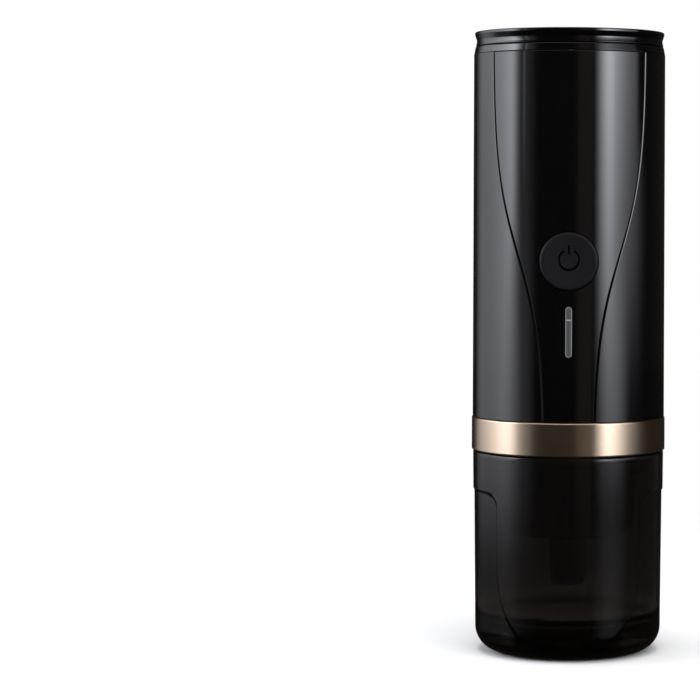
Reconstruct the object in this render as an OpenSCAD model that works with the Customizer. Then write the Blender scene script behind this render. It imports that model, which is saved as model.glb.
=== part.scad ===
// Portable electric espresso maker: a slim upright cylinder that heats its own water,
// pumps it through a small basket of coffee and stands on its own cup.
// Millimetres, +Z up. The origin is the centre of the foot, and the front faces -Y.

/* [Overall] */
// Outside diameter of the body
body_d = 71; // [69:0.5:76]
// Height of the cup, from the table to its rim
cup_h = 74; // [72:1:84]
// Height of the metal trim ring
ring_h = 12.2; // [10:0.1:16]
// How far the trim ring stands proud of the body
ring_proud = 0.3; // [0.25:0.05:1]
// Height of the body shell
shell_h = 133.7; // [130:0.1:150]
// Height of the tapered collar above the shell
collar_h = 2.7; // [2.4:0.1:4]
// Height of the lid above the collar
lid_h = 5.3; // [5:0.1:8]
// Width of the joint lines between the outer pieces
seam = 0.2; // [0.15:0.05:0.4]

/* [Shell and front panel] */
// Wall of the body shell
shell_wall = 3; // [2.8:0.1:3.4]
// Thickness of the front panel let into the shell
panel_t = 2; // [1.6:0.1:2.2]
// Width of the groove along the edge of the front panel
panel_gap = 0.35; // [0.2:0.05:0.6]
// Width of the ledge that carries the front panel
ledge_w = 2.2; // [1.5:0.1:3]
// Half width of the front panel at the middle of its curved edge
panel_mid = 18; // [17.5:0.1:19.5]
// How far the panel edge swings out above and in below that middle
panel_swing = 9.4; // [7:0.1:9.6]
// Height of that middle above the foot of the shell
panel_mid_rise = 60; // [52:0.1:70]
// Height over which the edge swings, half of it
panel_run = 31.5; // [22:0.5:38]

/* [Button and light bar] */
// Diameter of the power button
button_d = 21; // [18:0.1:22]
// Height of the button above the foot of the shell
button_rise = 57.9; // [54:0.1:60]
// How far the button face stands proud of the body
button_proud = 0.2; // [0.1:0.05:0.25]
// Travel of the button
button_travel = 0.5; // [0.3:0.05:0.6]
// How deep the button's face is dished for the finger
button_dish = 0.4; // [0.2:0.05:0.5]
// Diameter of the sunk ring of the power symbol
symbol_d = 8; // [6:0.1:9]
// Width of the lines of the power symbol
symbol_w = 0.8; // [0.5:0.05:1]
// Height of the middle of the light bar above the foot of the shell
light_rise = 32.5; // [28:0.1:35]
// Width of the light bar
light_w = 2.4; // [2:0.1:4]
// Length of the light bar
light_l = 18.2; // [14:0.1:20]

/* [Lid] */
// Height of the narrowest place of the lid above its foot
neck_rise = 2.3; // [2:0.1:2.8]
// Depth of the finger groove at that place, below the lip
neck_depth = 0.68; // [0.4:0.02:0.9]
// Height of the face of the lip
lip_face = 1.05; // [0.9:0.05:1.4]
// Radius of the cove that runs from there down to the collar
foot_cove_r = 5.9; // [5.2:0.1:9]
// Rounding of the edge of the lip
lip_round = 0.45; // [0.3:0.05:0.5]
// Depth of the dish in the top of the lid
lid_dish = 1.6; // [1:0.1:2]
// Depth of the plug under the lid
plug_h = 7.6; // [6.5:0.1:9]
// Clearance of the plug in the tank
plug_clear = 1.1; // [0.8:0.1:1.4]

/* [Water tank] */
// Room from the inside of the tank to the inside of the shell
tank_room = 6; // [5.8:0.1:8]
// Height of the tank floor above the upper deck
tank_lift = 11.9; // [11.5:0.1:16]
// Wall of the tank
tank_wall = 0.8; // [0.6:0.1:1]
// Width of the tank flange
flange_w = 3.9; // [3.4:0.1:4]
// Thickness of the heater plate
heater_t = 3.5; // [3:0.1:4]
// Diameter of the heating element's tube
element_d = 4.8; // [4:0.1:5]

/* [Inside] */
// Diameter of a battery cell
cell_d = 18.4; // [18:0.1:18.6]
// Length of a battery cell
cell_l = 65; // [62:0.5:66]
// Gap between neighbouring cells
cell_room = 0.87; // [0.5:0.01:2]
// Thickness of the two decks
deck_t = 3; // [2.6:0.1:3.4]
// Depth of the pockets for the cells
pocket = 1.2; // [0.8:0.1:1.5]
// Diameter of the deck posts
post_d = 4.8; // [4.2:0.1:5.2]
// Room below the lower deck
under_h = 7.5; // [7.2:0.1:9]
// Width of the circuit board
board_w = 30; // [26:0.5:32]
// Room above and below the circuit board, to the decks
board_margin = 2.3; // [1.8:0.1:4]
// Thickness of the circuit board
board_t = 1.6; // [1:0.1:1.8]
// Room from the face of the circuit board to the inside of the shell
board_room = 6.5; // [6:0.1:7.5]
// Gap between the pump's steel can and the cells
can_gap = 1; // [0.8:0.1:2]
// Wall of the pump's steel can
can_wall = 1.2; // [1:0.1:1.6]
// Diameter of the pump plunger
plunger_d = 7; // [6.4:0.1:7.2]
// Length of the pump plunger
plunger_l = 28; // [24:0.5:29]
// Running clearance of sliding fits, on the radius
fit = 0.08; // [0.05:0.01:0.1]
// Diameter of the hose nipples
nipple_d = 4.4; // [4:0.1:4.8]
// Diameter of the water way
water_d = 2.6; // [2:0.1:2.8]
// Wall of the hoses
hose_wall = 1.4; // [1.2:0.1:1.6]

/* [Brew head] */
// How far the skirt that carries the cup reaches below the trim ring
skirt_drop = 7; // [6:0.1:8]
// Wall of that skirt
skirt_wall = 2.4; // [2:0.1:2.6]
// Length of the boss that carries the shower screen
boss_l = 14; // [13.5:0.1:15]
// Thickness of the bayonet ledge
bayonet_t = 3; // [2.4:0.1:3.2]
// How far each bayonet claw reaches out
claw_reach = 2.6; // [2:0.1:2.8]
// Width of a claw, in degrees
claw_arc = 36; // [30:1:40]
// Width of the gate that a claw passes through, in degrees
gate_arc = 50; // [46:1:54]
// Thickness of the brew gasket
gasket_t = 1.4; // [1:0.1:1.6]

/* [Basket and portafilter] */
// Width of the flange of the basket
rim_w = 1.5; // [1.2:0.1:3]
// Depth of the basket below its flange
basket_h = 18; // [14:0.5:18]
// Sheet of the basket
basket_t = 0.5; // [0.4:0.05:0.7]
// Room between the portafilter and the skirt that carries the cup
porta_room = 4.55; // [4.2:0.05:5]
// Wall of the portafilter
porta_wall = 3.5; // [3.2:0.1:4]
// Thickness of the portafilter floor
porta_floor = 3; // [2.5:0.1:4]
// Diameter of the spout
spout_d = 14; // [12:0.5:16]
// Length of the spout below the portafilter
spout_l = 19; // [13:0.5:20]

/* [Cup] */
// Wall of the cup
cup_wall = 2.2; // [2:0.1:2.4]
// How much narrower the cup is at the foot, on the radius
cup_draft = 0.7; // [0.4:0.1:1]
// Rounding of the foot of the cup
cup_round = 9; // [7:0.5:10]
// Height of the floor inside the cup
cup_floor = 13; // [11:0.1:14]
// Depth of the hollow under the cup
foot_hollow = 8.5; // [6:0.1:9]
// Depth of the grip recesses at the sides of the cup
grip_depth = 0.4; // [0.2:0.05:0.5]

/* [Charging port] */
// Width of the charging socket
port_w = 8.94; // [8.6:0.02:9.2]
// Height of the charging socket
port_h = 3.26; // [3:0.02:3.4]
// Length of the charging socket
port_l = 7.4; // [6.8:0.1:8]
// Height of the opening for the charging cover
cover_h = 7.6; // [7:0.1:8]

/* [Hidden] */
$fn = 96;

// Overlap that lets one cut pass cleanly through a face
cut = 1;
// Gap between fixed pieces that only rest against each other
rest_gap = 0.1;
// Hairline between flat faces that touch
contact = 0.02;

body_r = body_d / 2;
shell_in = body_r - shell_wall;
panel_in = body_r - panel_t;
ring_r = body_r + ring_proud;

// Levels, from the foot up
z_ring = cup_h + seam;
z_shell = z_ring + ring_h + seam;
z_collar = z_shell + shell_h;
z_lid = z_collar + collar_h + seam;
z_top = z_lid + lid_h;
z_button = z_shell + button_rise;
z_light = z_shell + light_rise;

// The brew head's plate stands in the foot of the shell
plate_t = 3.4;
ceiling_t = 4.6;
z_plate = z_shell + plate_t;
z_ceiling = z_shell - ceiling_t;
z_skirt = z_ring - skirt_drop;

// The decks and the cells between them
z_lower = z_plate + under_h;
z_lower_top = z_lower + deck_t;
z_cell = z_lower_top - pocket;
z_upper = z_cell + cell_l - pocket;
z_upper_top = z_upper + deck_t;
deck_gap = 0.3;
deck_r = shell_in - deck_gap;
cell_gap = 0.25;
cell_inset = 0.5;
cell_end = 0.4;
cell_nub = 1;
cell_nub_d = 5.5;
cell_place = shell_in - cell_d / 2 - cell_inset;
cell_step = 2 * asin((cell_d + cell_room) / (2 * cell_place));
cell_angles = [90 - cell_step, 90, 90 + cell_step];
link_half = 2.4;
link_t = 0.2;
link_gap = 0.4;
post_angles = [-30, 210, 90 - cell_step / 2, 90 + cell_step / 2];
post_inset = [4.7, 4.7, 3, 3];

// The tank hangs by its flange in the collar
tank_r = shell_in - tank_room;
tank_round = 5;
collar_lip = 0.9;
collar_bore = tank_r + tank_wall + rest_gap + collar_lip;
flange_r = tank_r + flange_w;
flange_fit = 0.2;
gasket_h = 0.8;
gasket_inset = 0.4;
z_seat = z_collar + rest_gap;
z_flange = z_seat + gasket_h;
z_brim = z_flange + tank_wall;
z_tank = z_upper_top + tank_lift;
tank_depth = z_brim - z_tank;
z_heater = z_tank - tank_wall - heater_t - rest_gap;
heater_inset = 5.5;
heater_r = tank_r - heater_inset;
heater_bore = nipple_d / 2 + 1;
element_inset = 6.5;
element_sink = 0.4;
element_place = heater_r - element_inset;
probe_r = 1.5;
probe_l = 6.2;
probe_depth = 2.2;
probe_head_r = 2.2;
probe_head_h = 2.5;
probe_place = (heater_bore + element_place - element_d / 2) / 2;
insulator_w = 2.4;
spigot_l = 8.6;
spigot_h = 4;
z_spigot = z_tank - spigot_l;

// Hoses and nipples share one axis, the body's own
nipple_r = nipple_d / 2;
water_r = water_d / 2;
hose_fit = 0.05;
hose_end = 0.6;
hose_in = nipple_r + hose_fit;
hose_r = hose_in + hose_wall;
hose_grip = 4;

// The pump stands between the decks on two rubber mounts
mount_h = 6.5;
z_can = z_lower_top + mount_h;
z_can_top = z_upper - mount_h;
can_r = cell_place - cell_d / 2 - can_gap;
can_end = 1.6;
bore_r = plunger_d / 2 + fit;
pump_wall = 1.6;
pump_r = bore_r + pump_wall;
pump_over = 3;
z_pump = z_can - pump_over;
z_pump_top = z_can_top + pump_over;
cap_t = 2;
z_bore = z_pump + cap_t;
z_bore_top = z_pump_top - cap_t;
stroke = 3;
stroke_spare = 1;
z_plunger = z_bore_top - 2 * stroke - stroke_spare - plunger_l;
pump_fit = 0.15;
mount_w = 4.3;
mount_groove_r = 1.4;
mount_r = pump_r + mount_w;
spring_wire = 0.9;
spring_turns = 6;
spring_play = 0.35;
spring_end = 0.05;

// Cup, skirt and the seal between them
cup_inset = 0.2;
cup_r = body_r - cup_inset;
cup_in = cup_r - cup_wall;
cup_fit = 0.35;
skirt_r = cup_in - cup_fit;
skirt_in = skirt_r - skirt_wall;
seal_d = 1.6;
seal_place = skirt_r + rest_gap - seal_d / 2;
seal_rise = 3.4;
z_seal = z_skirt + seal_rise;

// The boss, and what is clamped below it
boss_fit = 0.5;
porta_r = skirt_in - porta_room;
porta_bore = porta_r - porta_wall;
boss_r = porta_bore - boss_fit;
z_boss = z_ceiling - boss_l;
z_gasket = z_boss - gasket_t;
rim_gap = 0.3;
basket_rim = porta_bore - rim_gap;
rim_t = 0.6;
z_rim = z_gasket - rest_gap - rim_t;
z_ledge = z_rim - rest_gap;
basket_r = basket_rim - rim_w;
basket_gap = 0.4;
basket_holes = 5;
basket_margin = 2.5;
z_basket = z_rim + rim_t - basket_h;
porta_top_gap = 1.5;
z_porta_top = z_ceiling - porta_top_gap;
claw_gap = 0.3;
z_claw = z_ring + bayonet_t + claw_gap;
claw_r = porta_r + claw_reach;
ledge_gap = 0.5;
ledge_r = porta_r + ledge_gap;
socket_gap = 0.4;
socket_r = claw_r + socket_gap;
claw_turn = 120;
claw_angles = [0, claw_turn, 2 * claw_turn];
drip_h = 2.2;
z_porta_in = z_basket - drip_h;
z_porta = z_porta_in - porta_floor;
z_spout = z_porta - spout_l;
screen_inset = 3.2;
screen_r = boss_r - screen_inset;
screen_t = 0.6;
screen_holes = 4;
screen_margin = 2.2;
screen_screw_angles = [60, 180, 300];
screen_screw_inset = 6.6;
screen_screw_place = screen_r - screen_screw_inset;
screen_screw_l = 5.5;
screen_head_h = 0.7;
spout_fit_r = 4;
spout_bore = 1.6;

// Screws and their threads
screw_r = 1.25;
screw_fit = 0.05;
screw_head_r = 2.2;
screw_head_h = 1.8;
small_screw_r = 1;
small_head_r = 1.9;
small_head_h = 1.4;
post_screw_grip = 7;
board_screw_l = 5;
board_head_r = 1.8;
board_head_h = 1.2;
sink_gap = 0.4;
housing_screw_angles = [10, 170, 230, 310];
housing_screw_place = (boss_r + socket_r) / 2;

// Charging port and its cover
port_board_t = 1.2;
port_board_lift = 1.2;
port_board_w = 18;
port_board_l = 15.2;
port_board_back = 16;
pad_x = 6;
pad_back = 13;
pad_r = 1.9;
z_port_board = z_plate + port_board_lift;
z_port = z_port_board + port_board_t + port_h / 2;
port_inset = 0.6;
port_mouth = shell_in - port_inset;
port_wall = 0.3;
tongue_w = 6.7;
tongue_t = 0.7;
tongue_inset = 1.2;
knuckle_r = 1.4;
knuckle_x = 7;
knuckle_sink = 0.15;
knuckle_y = sqrt(pow(body_r, 2) - pow(knuckle_x, 2)) - knuckle_r - knuckle_sink;
pin_r = 0.6;
cover_left = -8.4;
cover_swing_gap = 1.1;
cover_right = knuckle_x + knuckle_r + cover_swing_gap;
pin_bury = 1.4;
cover_gap = 0.3;
cover_t = 1.8;
cover_sink = 0.1;
notch_r = 1.1;
notch_h = 4;

// The lid's plug and the seal in its groove
plug_r = tank_r - plug_clear;
groove_rise = 2.2;
groove_deep = 1.6;
groove_h = 2.6;
groove_play = 0.1;
seal_h = 2.4;
seal_gap = 0.3;
seal_lip = 0.4;
// The vent in the middle of the lid
vent_hole_r = 1.6;
vent_stem_r = 1.5;
vent_disc_r = 3;
vent_knob_r = 2.8;
vent_knob_top = 2.4;
vent_t = 0.9;
// The lid's lip, and its foot where it meets the collar
lip_inset = 0.34;
dish_rim = 2.6;
lip_r = body_r - lip_inset;
lid_foot_r = lip_r - neck_depth + foot_cove_r - sqrt(pow(foot_cove_r, 2) - pow(neck_rise, 2));

// The switch on the board, and the button in front of it
board_y = shell_in - board_room;
switch_w = 6;
switch_h = 3.4;
stem_r = 1.7;
stem_root = 1.5;
stem_room = 0.4;
button_play = 0.2;
button_back = board_y + switch_h + button_travel + button_play;
button_gap = 0.3;
button_flange = 1.1;
button_flange_t = 0.9;
button_post_r = 3;
symbol_gap = 3.4;
symbol_bar = 3.4;
symbol_rise = 0.5;
symbol_bar_rise = 3.6;

// The light bar's lens
light_gap = 0.1;
light_back = 3;
lens_sink = 0.05;
lens_clear = 1.2;

// Where the board's four screws go: two in lugs on each deck
board_screw_x = 10.5;
lug_w = 5;
lug_h = 6.5;
lug_inset = 2.6;
lug_hole = 4.2;
z_board = (z_lower_top + z_upper) / 2;
board_h = z_upper - z_lower_top - 2 * board_margin;
board_screw_z = [z_lower_top + lug_h - lug_inset, z_upper - lug_h + lug_inset];
board_corner = 2;
// Place and size of each chip on the back of the board: x, z, width, height
chips = [[-6, 8, 7, 7], [6, -6, 5, 6], [-7, -12, 9, 4]];
chip_t = 1.4;

function tanh(x) = (exp(2 * x) - 1) / (exp(2 * x) + 1);

// Half width of the front panel at a height above the foot of the shell
function panel_half(h) = panel_mid + panel_swing * tanh((h - panel_mid_rise) / panel_run);

// Faces of a tube of closed rings, with both ends capped
function tube_faces(rings, sides) = concat(
    [for (i = [0:rings - 2], j = [0:sides - 1])
        [i * sides + j, (i + 1) * sides + j, i * sides + (j + 1) % sides]],
    [for (i = [0:rings - 2], j = [0:sides - 1])
        [(i + 1) * sides + j, (i + 1) * sides + (j + 1) % sides, i * sides + (j + 1) % sides]],
    [for (j = [1:sides - 2]) [0, j, j + 1]],
    [for (j = [1:sides - 2])
        [(rings - 1) * sides, (rings - 1) * sides + j + 1, (rings - 1) * sides + j]]
);

// A block that fills part of a ring, centred on an angle
module arc_block(angle, width, inner, outer, height) {
    rotate(angle - width / 2) rotate_extrude(angle = width)
        translate([inner, 0]) square([outer - inner, height]);
}

module ring(outer, inner, height) {
    difference() {
        cylinder(r = outer, h = height);
        translate([0, 0, -cut]) cylinder(r = inner, h = height + 2 * cut);
    }
}

// Places children round the axis
module around(angles, place) {
    for (a = angles) rotate(a) translate([place, 0, 0]) children();
}

// A flat shape in X and Z pushed through the body along Y, from y0 to y1
module along_y(y0, y1) {
    translate([0, y1, 0]) rotate([90, 0, 0]) linear_extrude(y1 - y0) children();
}

module slot_shape(w, l) {
    square([w, l - w], center = true);
    for (s = [-1, 1]) translate([0, s * (l - w) / 2]) circle(d = w);
}

module rounded_shape(w, h, r) {
    square([w - 2 * r, h], center = true);
    square([w, h - 2 * r], center = true);
    for (sx = [-1, 1], sy = [-1, 1])
        translate([sx * (w / 2 - r), sy * (h / 2 - r)]) circle(r);
}

// A screw that points up, with the underside of its head at z = 0
module screw(length, head_r = screw_head_r, head_h = screw_head_h, shank_r = screw_r) {
    difference() {
        union() {
            cylinder(r = shank_r, h = length);
            translate([0, 0, -head_h]) cylinder(r = head_r, h = head_h + 0.01);
        }
        translate([0, 0, -head_h - cut]) cylinder(r = head_r * 0.5, h = cut + head_h * 0.6, $fn = 6);
    }
}

// Outline of the front panel, grown by a margin at its curved edges
module panel_shape(grow, foot, head) {
    steps = 24;
    heights = [for (i = [0:steps]) foot + (head - foot) * i / steps];
    polygon(concat(
        [for (h = heights) [panel_half(h) + grow, z_shell + h]],
        [for (i = [steps:-1:0]) [-panel_half(heights[i]) - grow, z_shell + heights[i]]]
    ));
}

module rear_shell() {
    bridge = 4;
    cover_corner = 1;
    cover_w = cover_right - cover_left + cover_gap;
    color([0.03, 0.03, 0.035]) difference() {
        translate([0, 0, z_shell]) ring(body_r, shell_in, shell_h);
        // The panel's seat, down to the ledge
        intersection() {
            translate([0, 0, z_shell - cut]) ring(body_r + cut, panel_in, shell_h + 2 * cut);
            along_y(-body_r - cut, 0) panel_shape(panel_gap, -2 * cut, shell_h + 2 * cut);
        }
        // The window inside the ledge
        along_y(-body_r - cut, 0) panel_shape(-ledge_w, bridge, shell_h - bridge);
        // The opening for the charging cover
        translate([cover_right - cover_w / 2, 0, z_port])
            along_y(0, body_r + cut) rounded_shape(cover_w, cover_h, cover_corner);
        // The holes for the cover's pin
        translate([knuckle_x, knuckle_y, z_port - cover_h / 2 - pin_bury - rest_gap])
            cylinder(r = pin_r + screw_fit, h = cover_h + 2 * pin_bury + 2 * rest_gap);
    }
}

module front_panel() {
    color([0.03, 0.03, 0.035]) difference() {
        intersection() {
            translate([0, 0, z_shell + seam / 2])
                ring(body_r, panel_in + rest_gap / 2, shell_h - seam);
            along_y(-body_r - cut, 0) panel_shape(0, -cut, shell_h + cut);
        }
        translate([0, 0, z_button]) along_y(-body_r - cut, 0) circle(r = button_d / 2 + button_gap);
        translate([0, 0, z_light]) along_y(-body_r - cut, 0)
            slot_shape(light_w + light_gap, light_l + light_gap);
    }
}

module light_bar() {
    flange = 1;
    back = board_y + light_back;
    color([0.5, 0.5, 0.52]) union() {
        intersection() {
            translate([0, 0, z_light]) along_y(-body_r - cut, -back) slot_shape(light_w, light_l);
            translate([0, 0, z_light - light_l]) cylinder(r = body_r - lens_sink, h = 2 * light_l);
        }
        translate([0, 0, z_light]) along_y(-panel_in + lens_clear, -back)
            slot_shape(light_w + 2 * flange, light_l + 2 * flange);
    }
}

module top_collar() {
    skirt_h = 8;
    skirt_fit = 0.2;
    skirt_t = 2;
    seat_t = 1.6;
    inset = 0.05;
    color([0.03, 0.03, 0.035]) rotate_extrude() difference() {
        union() {
            polygon([
                [collar_bore, z_collar], [body_r - inset, z_collar],
                [lid_foot_r, z_collar + collar_h], [collar_bore, z_collar + collar_h]
            ]);
            translate([collar_bore, z_collar - skirt_h])
                square([shell_in - skirt_fit - collar_bore, skirt_h + cut / 2]);
        }
        // Recess for the gasket and the tank's flange
        translate([0, z_seat]) square([flange_r + flange_fit, collar_h + cut]);
        // The skirt is a thin wall below its seat
        translate([0, z_collar - skirt_h - cut])
            square([shell_in - skirt_fit - skirt_t, skirt_h + cut - seat_t]);
    }
}

module trim_ring() {
    edge = 0.5;
    inner = skirt_r + rest_gap;
    color([0.78, 0.66, 0.53]) rotate_extrude() polygon([
        [inner, z_ring], [ring_r - edge, z_ring], [ring_r, z_ring + edge],
        [ring_r, z_ring + ring_h - edge], [ring_r - edge, z_ring + ring_h], [inner, z_ring + ring_h]
    ]);
}

module lid_cap() {
    dish_r = lip_r - dish_rim;
    z_neck = z_lid + neck_rise;
    neck_r = lip_r - neck_depth;
    color([0.03, 0.03, 0.035]) rotate_extrude() difference() {
        translate([vent_hole_r, z_lid]) square([lip_r - vent_hole_r, lid_h]);
        // The finger groove: a cone up to the lip and a cove down to the foot
        polygon([
            [neck_r, z_neck], [lip_r, z_top - lip_face], [body_d, z_top - lip_face], [body_d, z_neck]
        ]);
        intersection() {
            translate([neck_r + foot_cove_r, z_neck]) circle(foot_cove_r);
            translate([0, z_neck - body_d]) square(body_d);
        }
        translate([0, z_top - lid_dish]) square([dish_r, lid_dish + cut]);
        // The rounded lip
        difference() {
            translate([lip_r - lip_round, z_top - lip_round]) square(lip_round + cut);
            translate([lip_r - lip_round, z_top - lip_round]) circle(lip_round);
        }
    }
}

module lid_plug() {
    color([0.12, 0.12, 0.13]) translate([0, 0, z_lid - plug_h - contact]) difference() {
        cylinder(r = plug_r, h = plug_h);
        translate([0, 0, groove_rise]) ring(plug_r + cut, plug_r - groove_deep, groove_h);
        translate([0, 0, -cut]) cylinder(r = vent_hole_r, h = plug_h + 2 * cut);
    }
}

module lid_seal() {
    seal_r = tank_r - seal_gap;
    root = plug_r - groove_deep + groove_play;
    land = plug_r + groove_play;
    z0 = z_lid - plug_h + groove_rise + groove_play - contact;
    z_lip = z0 + seal_h / 3;
    color([0.75, 0.74, 0.72]) rotate_extrude() polygon([
        [root, z0], [land, z0], [seal_r, z_lip], [seal_r, z_lip + seal_lip],
        [land, z0 + seal_h], [root, z0 + seal_h]
    ]);
}

module vent_valve() {
    dish = z_top - lid_dish;
    foot = z_lid - plug_h;
    color([0.2, 0.2, 0.21]) rotate_extrude() polygon([
        [0, foot - vent_t], [vent_disc_r, foot - vent_t], [vent_disc_r, foot - 2 * rest_gap],
        [vent_stem_r, foot - 2 * rest_gap], [vent_stem_r, dish + rest_gap],
        [vent_knob_r, dish + rest_gap], [vent_knob_top, dish + vent_t], [0, dish + vent_t]
    ]);
}

module power_button() {
    face = -body_r - button_proud;
    rim_r = button_d / 2 + button_flange;
    rim_y = -sqrt(pow(panel_in, 2) - pow(rim_r, 2)) + button_gap;
    edge = 0.5;
    depth = 0.2;
    dish_r = (pow(button_d / 2 - edge, 2) + pow(button_dish, 2)) / (2 * button_dish);
    color([0.08, 0.085, 0.1]) translate([0, 0, z_button]) difference() {
        rotate([-90, 0, 0]) rotate_extrude() polygon([
            [0, face], [button_d / 2 - edge, face], [button_d / 2, face + edge],
            [button_d / 2, rim_y], [rim_r, rim_y], [rim_r, rim_y + button_flange_t],
            [button_post_r, rim_y + button_flange_t], [button_post_r, -button_back], [0, -button_back]
        ]);
        // The dish: a large ball in front of the face dips into it
        translate([0, face + button_dish - dish_r, 0]) rotate([-90, 0, 0]) sphere(dish_r);
        // The sunk power symbol: a ring with a gap at the top, and a bar in the gap
        translate([0, 0, symbol_rise]) along_y(face - cut, face + button_dish + depth) difference() {
            circle(d = symbol_d);
            circle(d = symbol_d - 2 * symbol_w);
            translate([-symbol_gap / 2, 0]) square([symbol_gap, symbol_d]);
        }
        translate([0, 0, symbol_rise + symbol_bar_rise])
            along_y(face - cut, face + button_dish + depth) slot_shape(symbol_w, symbol_bar);
    }
}

module switch_stem() {
    color([0.25, 0.25, 0.27]) translate([0, 0, z_button])
        along_y(-button_back + contact, -board_y - stem_root) circle(stem_r);
}

module tact_switch() {
    color([0.1, 0.1, 0.11]) translate([0, 0, z_button]) difference() {
        along_y(-board_y - switch_h, -board_y) square(switch_w, center = true);
        along_y(-board_y - switch_h - cut, -board_y - stem_root + button_travel + stem_room)
            circle(stem_r + fit);
    }
}

module indicator_leds() {
    count = 4;
    led_w = 1.6;
    led_h = 2.4;
    led_t = 1.2;
    step = light_l / (count + 0.5);
    color([0.95, 0.93, 0.85]) for (i = [0:count - 1])
        translate([0, 0, z_light + (i - (count - 1) / 2) * step])
            along_y(-board_y - led_t, -board_y) square([led_w, led_h], center = true);
}

module circuit_board() {
    color([0.05, 0.28, 0.16]) difference() {
        translate([0, 0, z_board]) along_y(-board_y, -board_y + board_t)
            rounded_shape(board_w, board_h, board_corner);
        for (z = board_screw_z, x = [-1, 1] * board_screw_x)
            translate([x, 0, z]) along_y(-board_y - cut, -board_y + board_t + cut)
                circle(r = small_screw_r + screw_fit);
    }
    // Chips and a connector on the back of the board
    color([0.06, 0.06, 0.07]) for (c = chips)
        translate([c[0], 0, z_board + c[1]])
            along_y(-board_y + board_t - contact, -board_y + board_t + chip_t)
                square([c[2], c[3]], center = true);
}

module board_screws() {
    color([0.6, 0.6, 0.62]) for (z = board_screw_z, x = [-1, 1] * board_screw_x)
        translate([x, -board_y - contact, z]) rotate([-90, 0, 0])
            screw(board_screw_l, board_head_r, board_head_h, small_screw_r);
}

module deck_lugs(z0, z1) {
    for (x = [-1, 1] * board_screw_x) difference() {
        translate([x - lug_w / 2, -board_y + board_t + contact, z0]) cube([lug_w, lug_w, z1 - z0]);
        for (z = board_screw_z)
            translate([x, 0, z]) along_y(-board_y, -board_y + board_t + lug_hole)
                circle(r = small_screw_r + screw_fit);
    }
}

module post_places() {
    for (i = [0:3]) rotate(post_angles[i]) translate([shell_in - post_inset[i], 0, 0]) children();
}

module water_tank() {
    color([0.75, 0.75, 0.76]) rotate_extrude() difference() {
        union() {
            translate([0, z_tank - tank_wall]) square([tank_r + tank_wall, tank_depth + tank_wall]);
            translate([0, z_flange]) square([flange_r, tank_wall]);
            translate([0, z_spigot]) square([nipple_r, spigot_l]);
        }
        // The inside, with a rounded foot
        difference() {
            translate([0, z_tank]) square([tank_r, tank_depth + cut]);
            difference() {
                translate([tank_r - tank_round, z_tank - cut]) square(tank_round + cut);
                translate([tank_r - tank_round, z_tank + tank_round]) circle(tank_round);
            }
        }
        translate([0, z_spigot - cut]) square([water_r, spigot_l + 3 * cut]);
    }
}

module tank_gasket() {
    color([0.7, 0.69, 0.67]) translate([0, 0, z_seat])
        ring(flange_r - flange_fit, tank_r + tank_wall + gasket_inset, gasket_h - contact);
}

module heater_plate() {
    color([0.7, 0.71, 0.72]) difference() {
        translate([0, 0, z_heater]) ring(heater_r, heater_bore, heater_t);
        translate([0, 0, z_heater - element_sink]) rotate_extrude()
            translate([element_place, 0]) circle(d = element_d + rest_gap);
        translate([0, -probe_place, z_heater - cut])
            cylinder(r = probe_r + rest_gap, h = cut + probe_depth + 2 * rest_gap);
    }
}

module heater_element() {
    color([0.35, 0.33, 0.32]) translate([0, 0, z_heater - element_sink])
        rotate_extrude() translate([element_place, 0]) circle(d = element_d);
}

module temperature_probe() {
    color([0.8, 0.8, 0.8]) translate([0, -probe_place, z_heater + probe_depth - probe_l]) {
        cylinder(r = probe_r, h = probe_l);
        translate([0, 0, -probe_head_h / 2]) cylinder(r = probe_head_r, h = probe_head_h);
    }
}

module insulator_ring() {
    color([0.85, 0.83, 0.78]) translate([0, 0, z_upper_top])
        ring(heater_r, heater_r - insulator_w, z_heater - z_upper_top - contact);
}

module inlet_hose() {
    color([0.85, 0.85, 0.86]) translate([0, 0, z_pump_top + hose_end])
        ring(hose_r, hose_in, z_spigot + hose_grip - z_pump_top - hose_end);
}

module outlet_hose() {
    color([0.85, 0.85, 0.86]) translate([0, 0, z_plate + hose_end / 2])
        ring(hose_r, hose_in, z_pump - z_plate - 1.5 * hose_end);
}

module deck(z0, pocket_z) {
    difference() {
        translate([0, 0, z0]) cylinder(r = deck_r, h = deck_t);
        translate([0, 0, z0 - cut]) cylinder(r = hose_r + hose_end, h = deck_t + 2 * cut);
        translate([0, 0, pocket_z])
            around(cell_angles, cell_place) cylinder(r = cell_d / 2 + cell_gap, h = pocket);
        translate([0, 0, z0 - cut]) post_places()
            cylinder(r = small_screw_r + screw_fit, h = deck_t + 2 * cut);
        // The front is flat, to leave room for the board
        translate([-deck_r, -2 * deck_r, z0 - cut])
            cube([2 * deck_r, 2 * deck_r - board_y, deck_t + 2 * cut]);
    }
}

module upper_deck() {
    color([0.16, 0.16, 0.17]) difference() {
        union() {
            deck(z_upper, z_upper);
            deck_lugs(z_upper - lug_h, z_upper + contact);
        }
        // Channels for the links between the cells
        translate([0, 0, z_upper - cut]) linear_extrude(cut + pocket - rest_gap)
            link_shape(link_half + link_gap);
    }
}

module lower_deck() {
    boss = 3;
    bite = 0.8;
    color([0.16, 0.16, 0.17]) difference() {
        union() {
            deck(z_lower, z_cell);
            deck_lugs(z_lower_top - contact, z_lower_top + lug_h);
            translate([0, 0, z_plate + contact])
                around(housing_screw_angles, housing_screw_place) cylinder(r = boss, h = under_h);
        }
        translate([0, 0, z_plate - cut]) around(housing_screw_angles, housing_screw_place)
            cylinder(r = screw_r + screw_fit, h = under_h + cut + bite);
    }
}

module deck_posts() {
    color([0.62, 0.62, 0.64]) translate([0, 0, z_lower_top + contact]) post_places()
        ring(post_d / 2, small_screw_r + screw_fit, z_upper - z_lower_top - 2 * contact);
}

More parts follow.
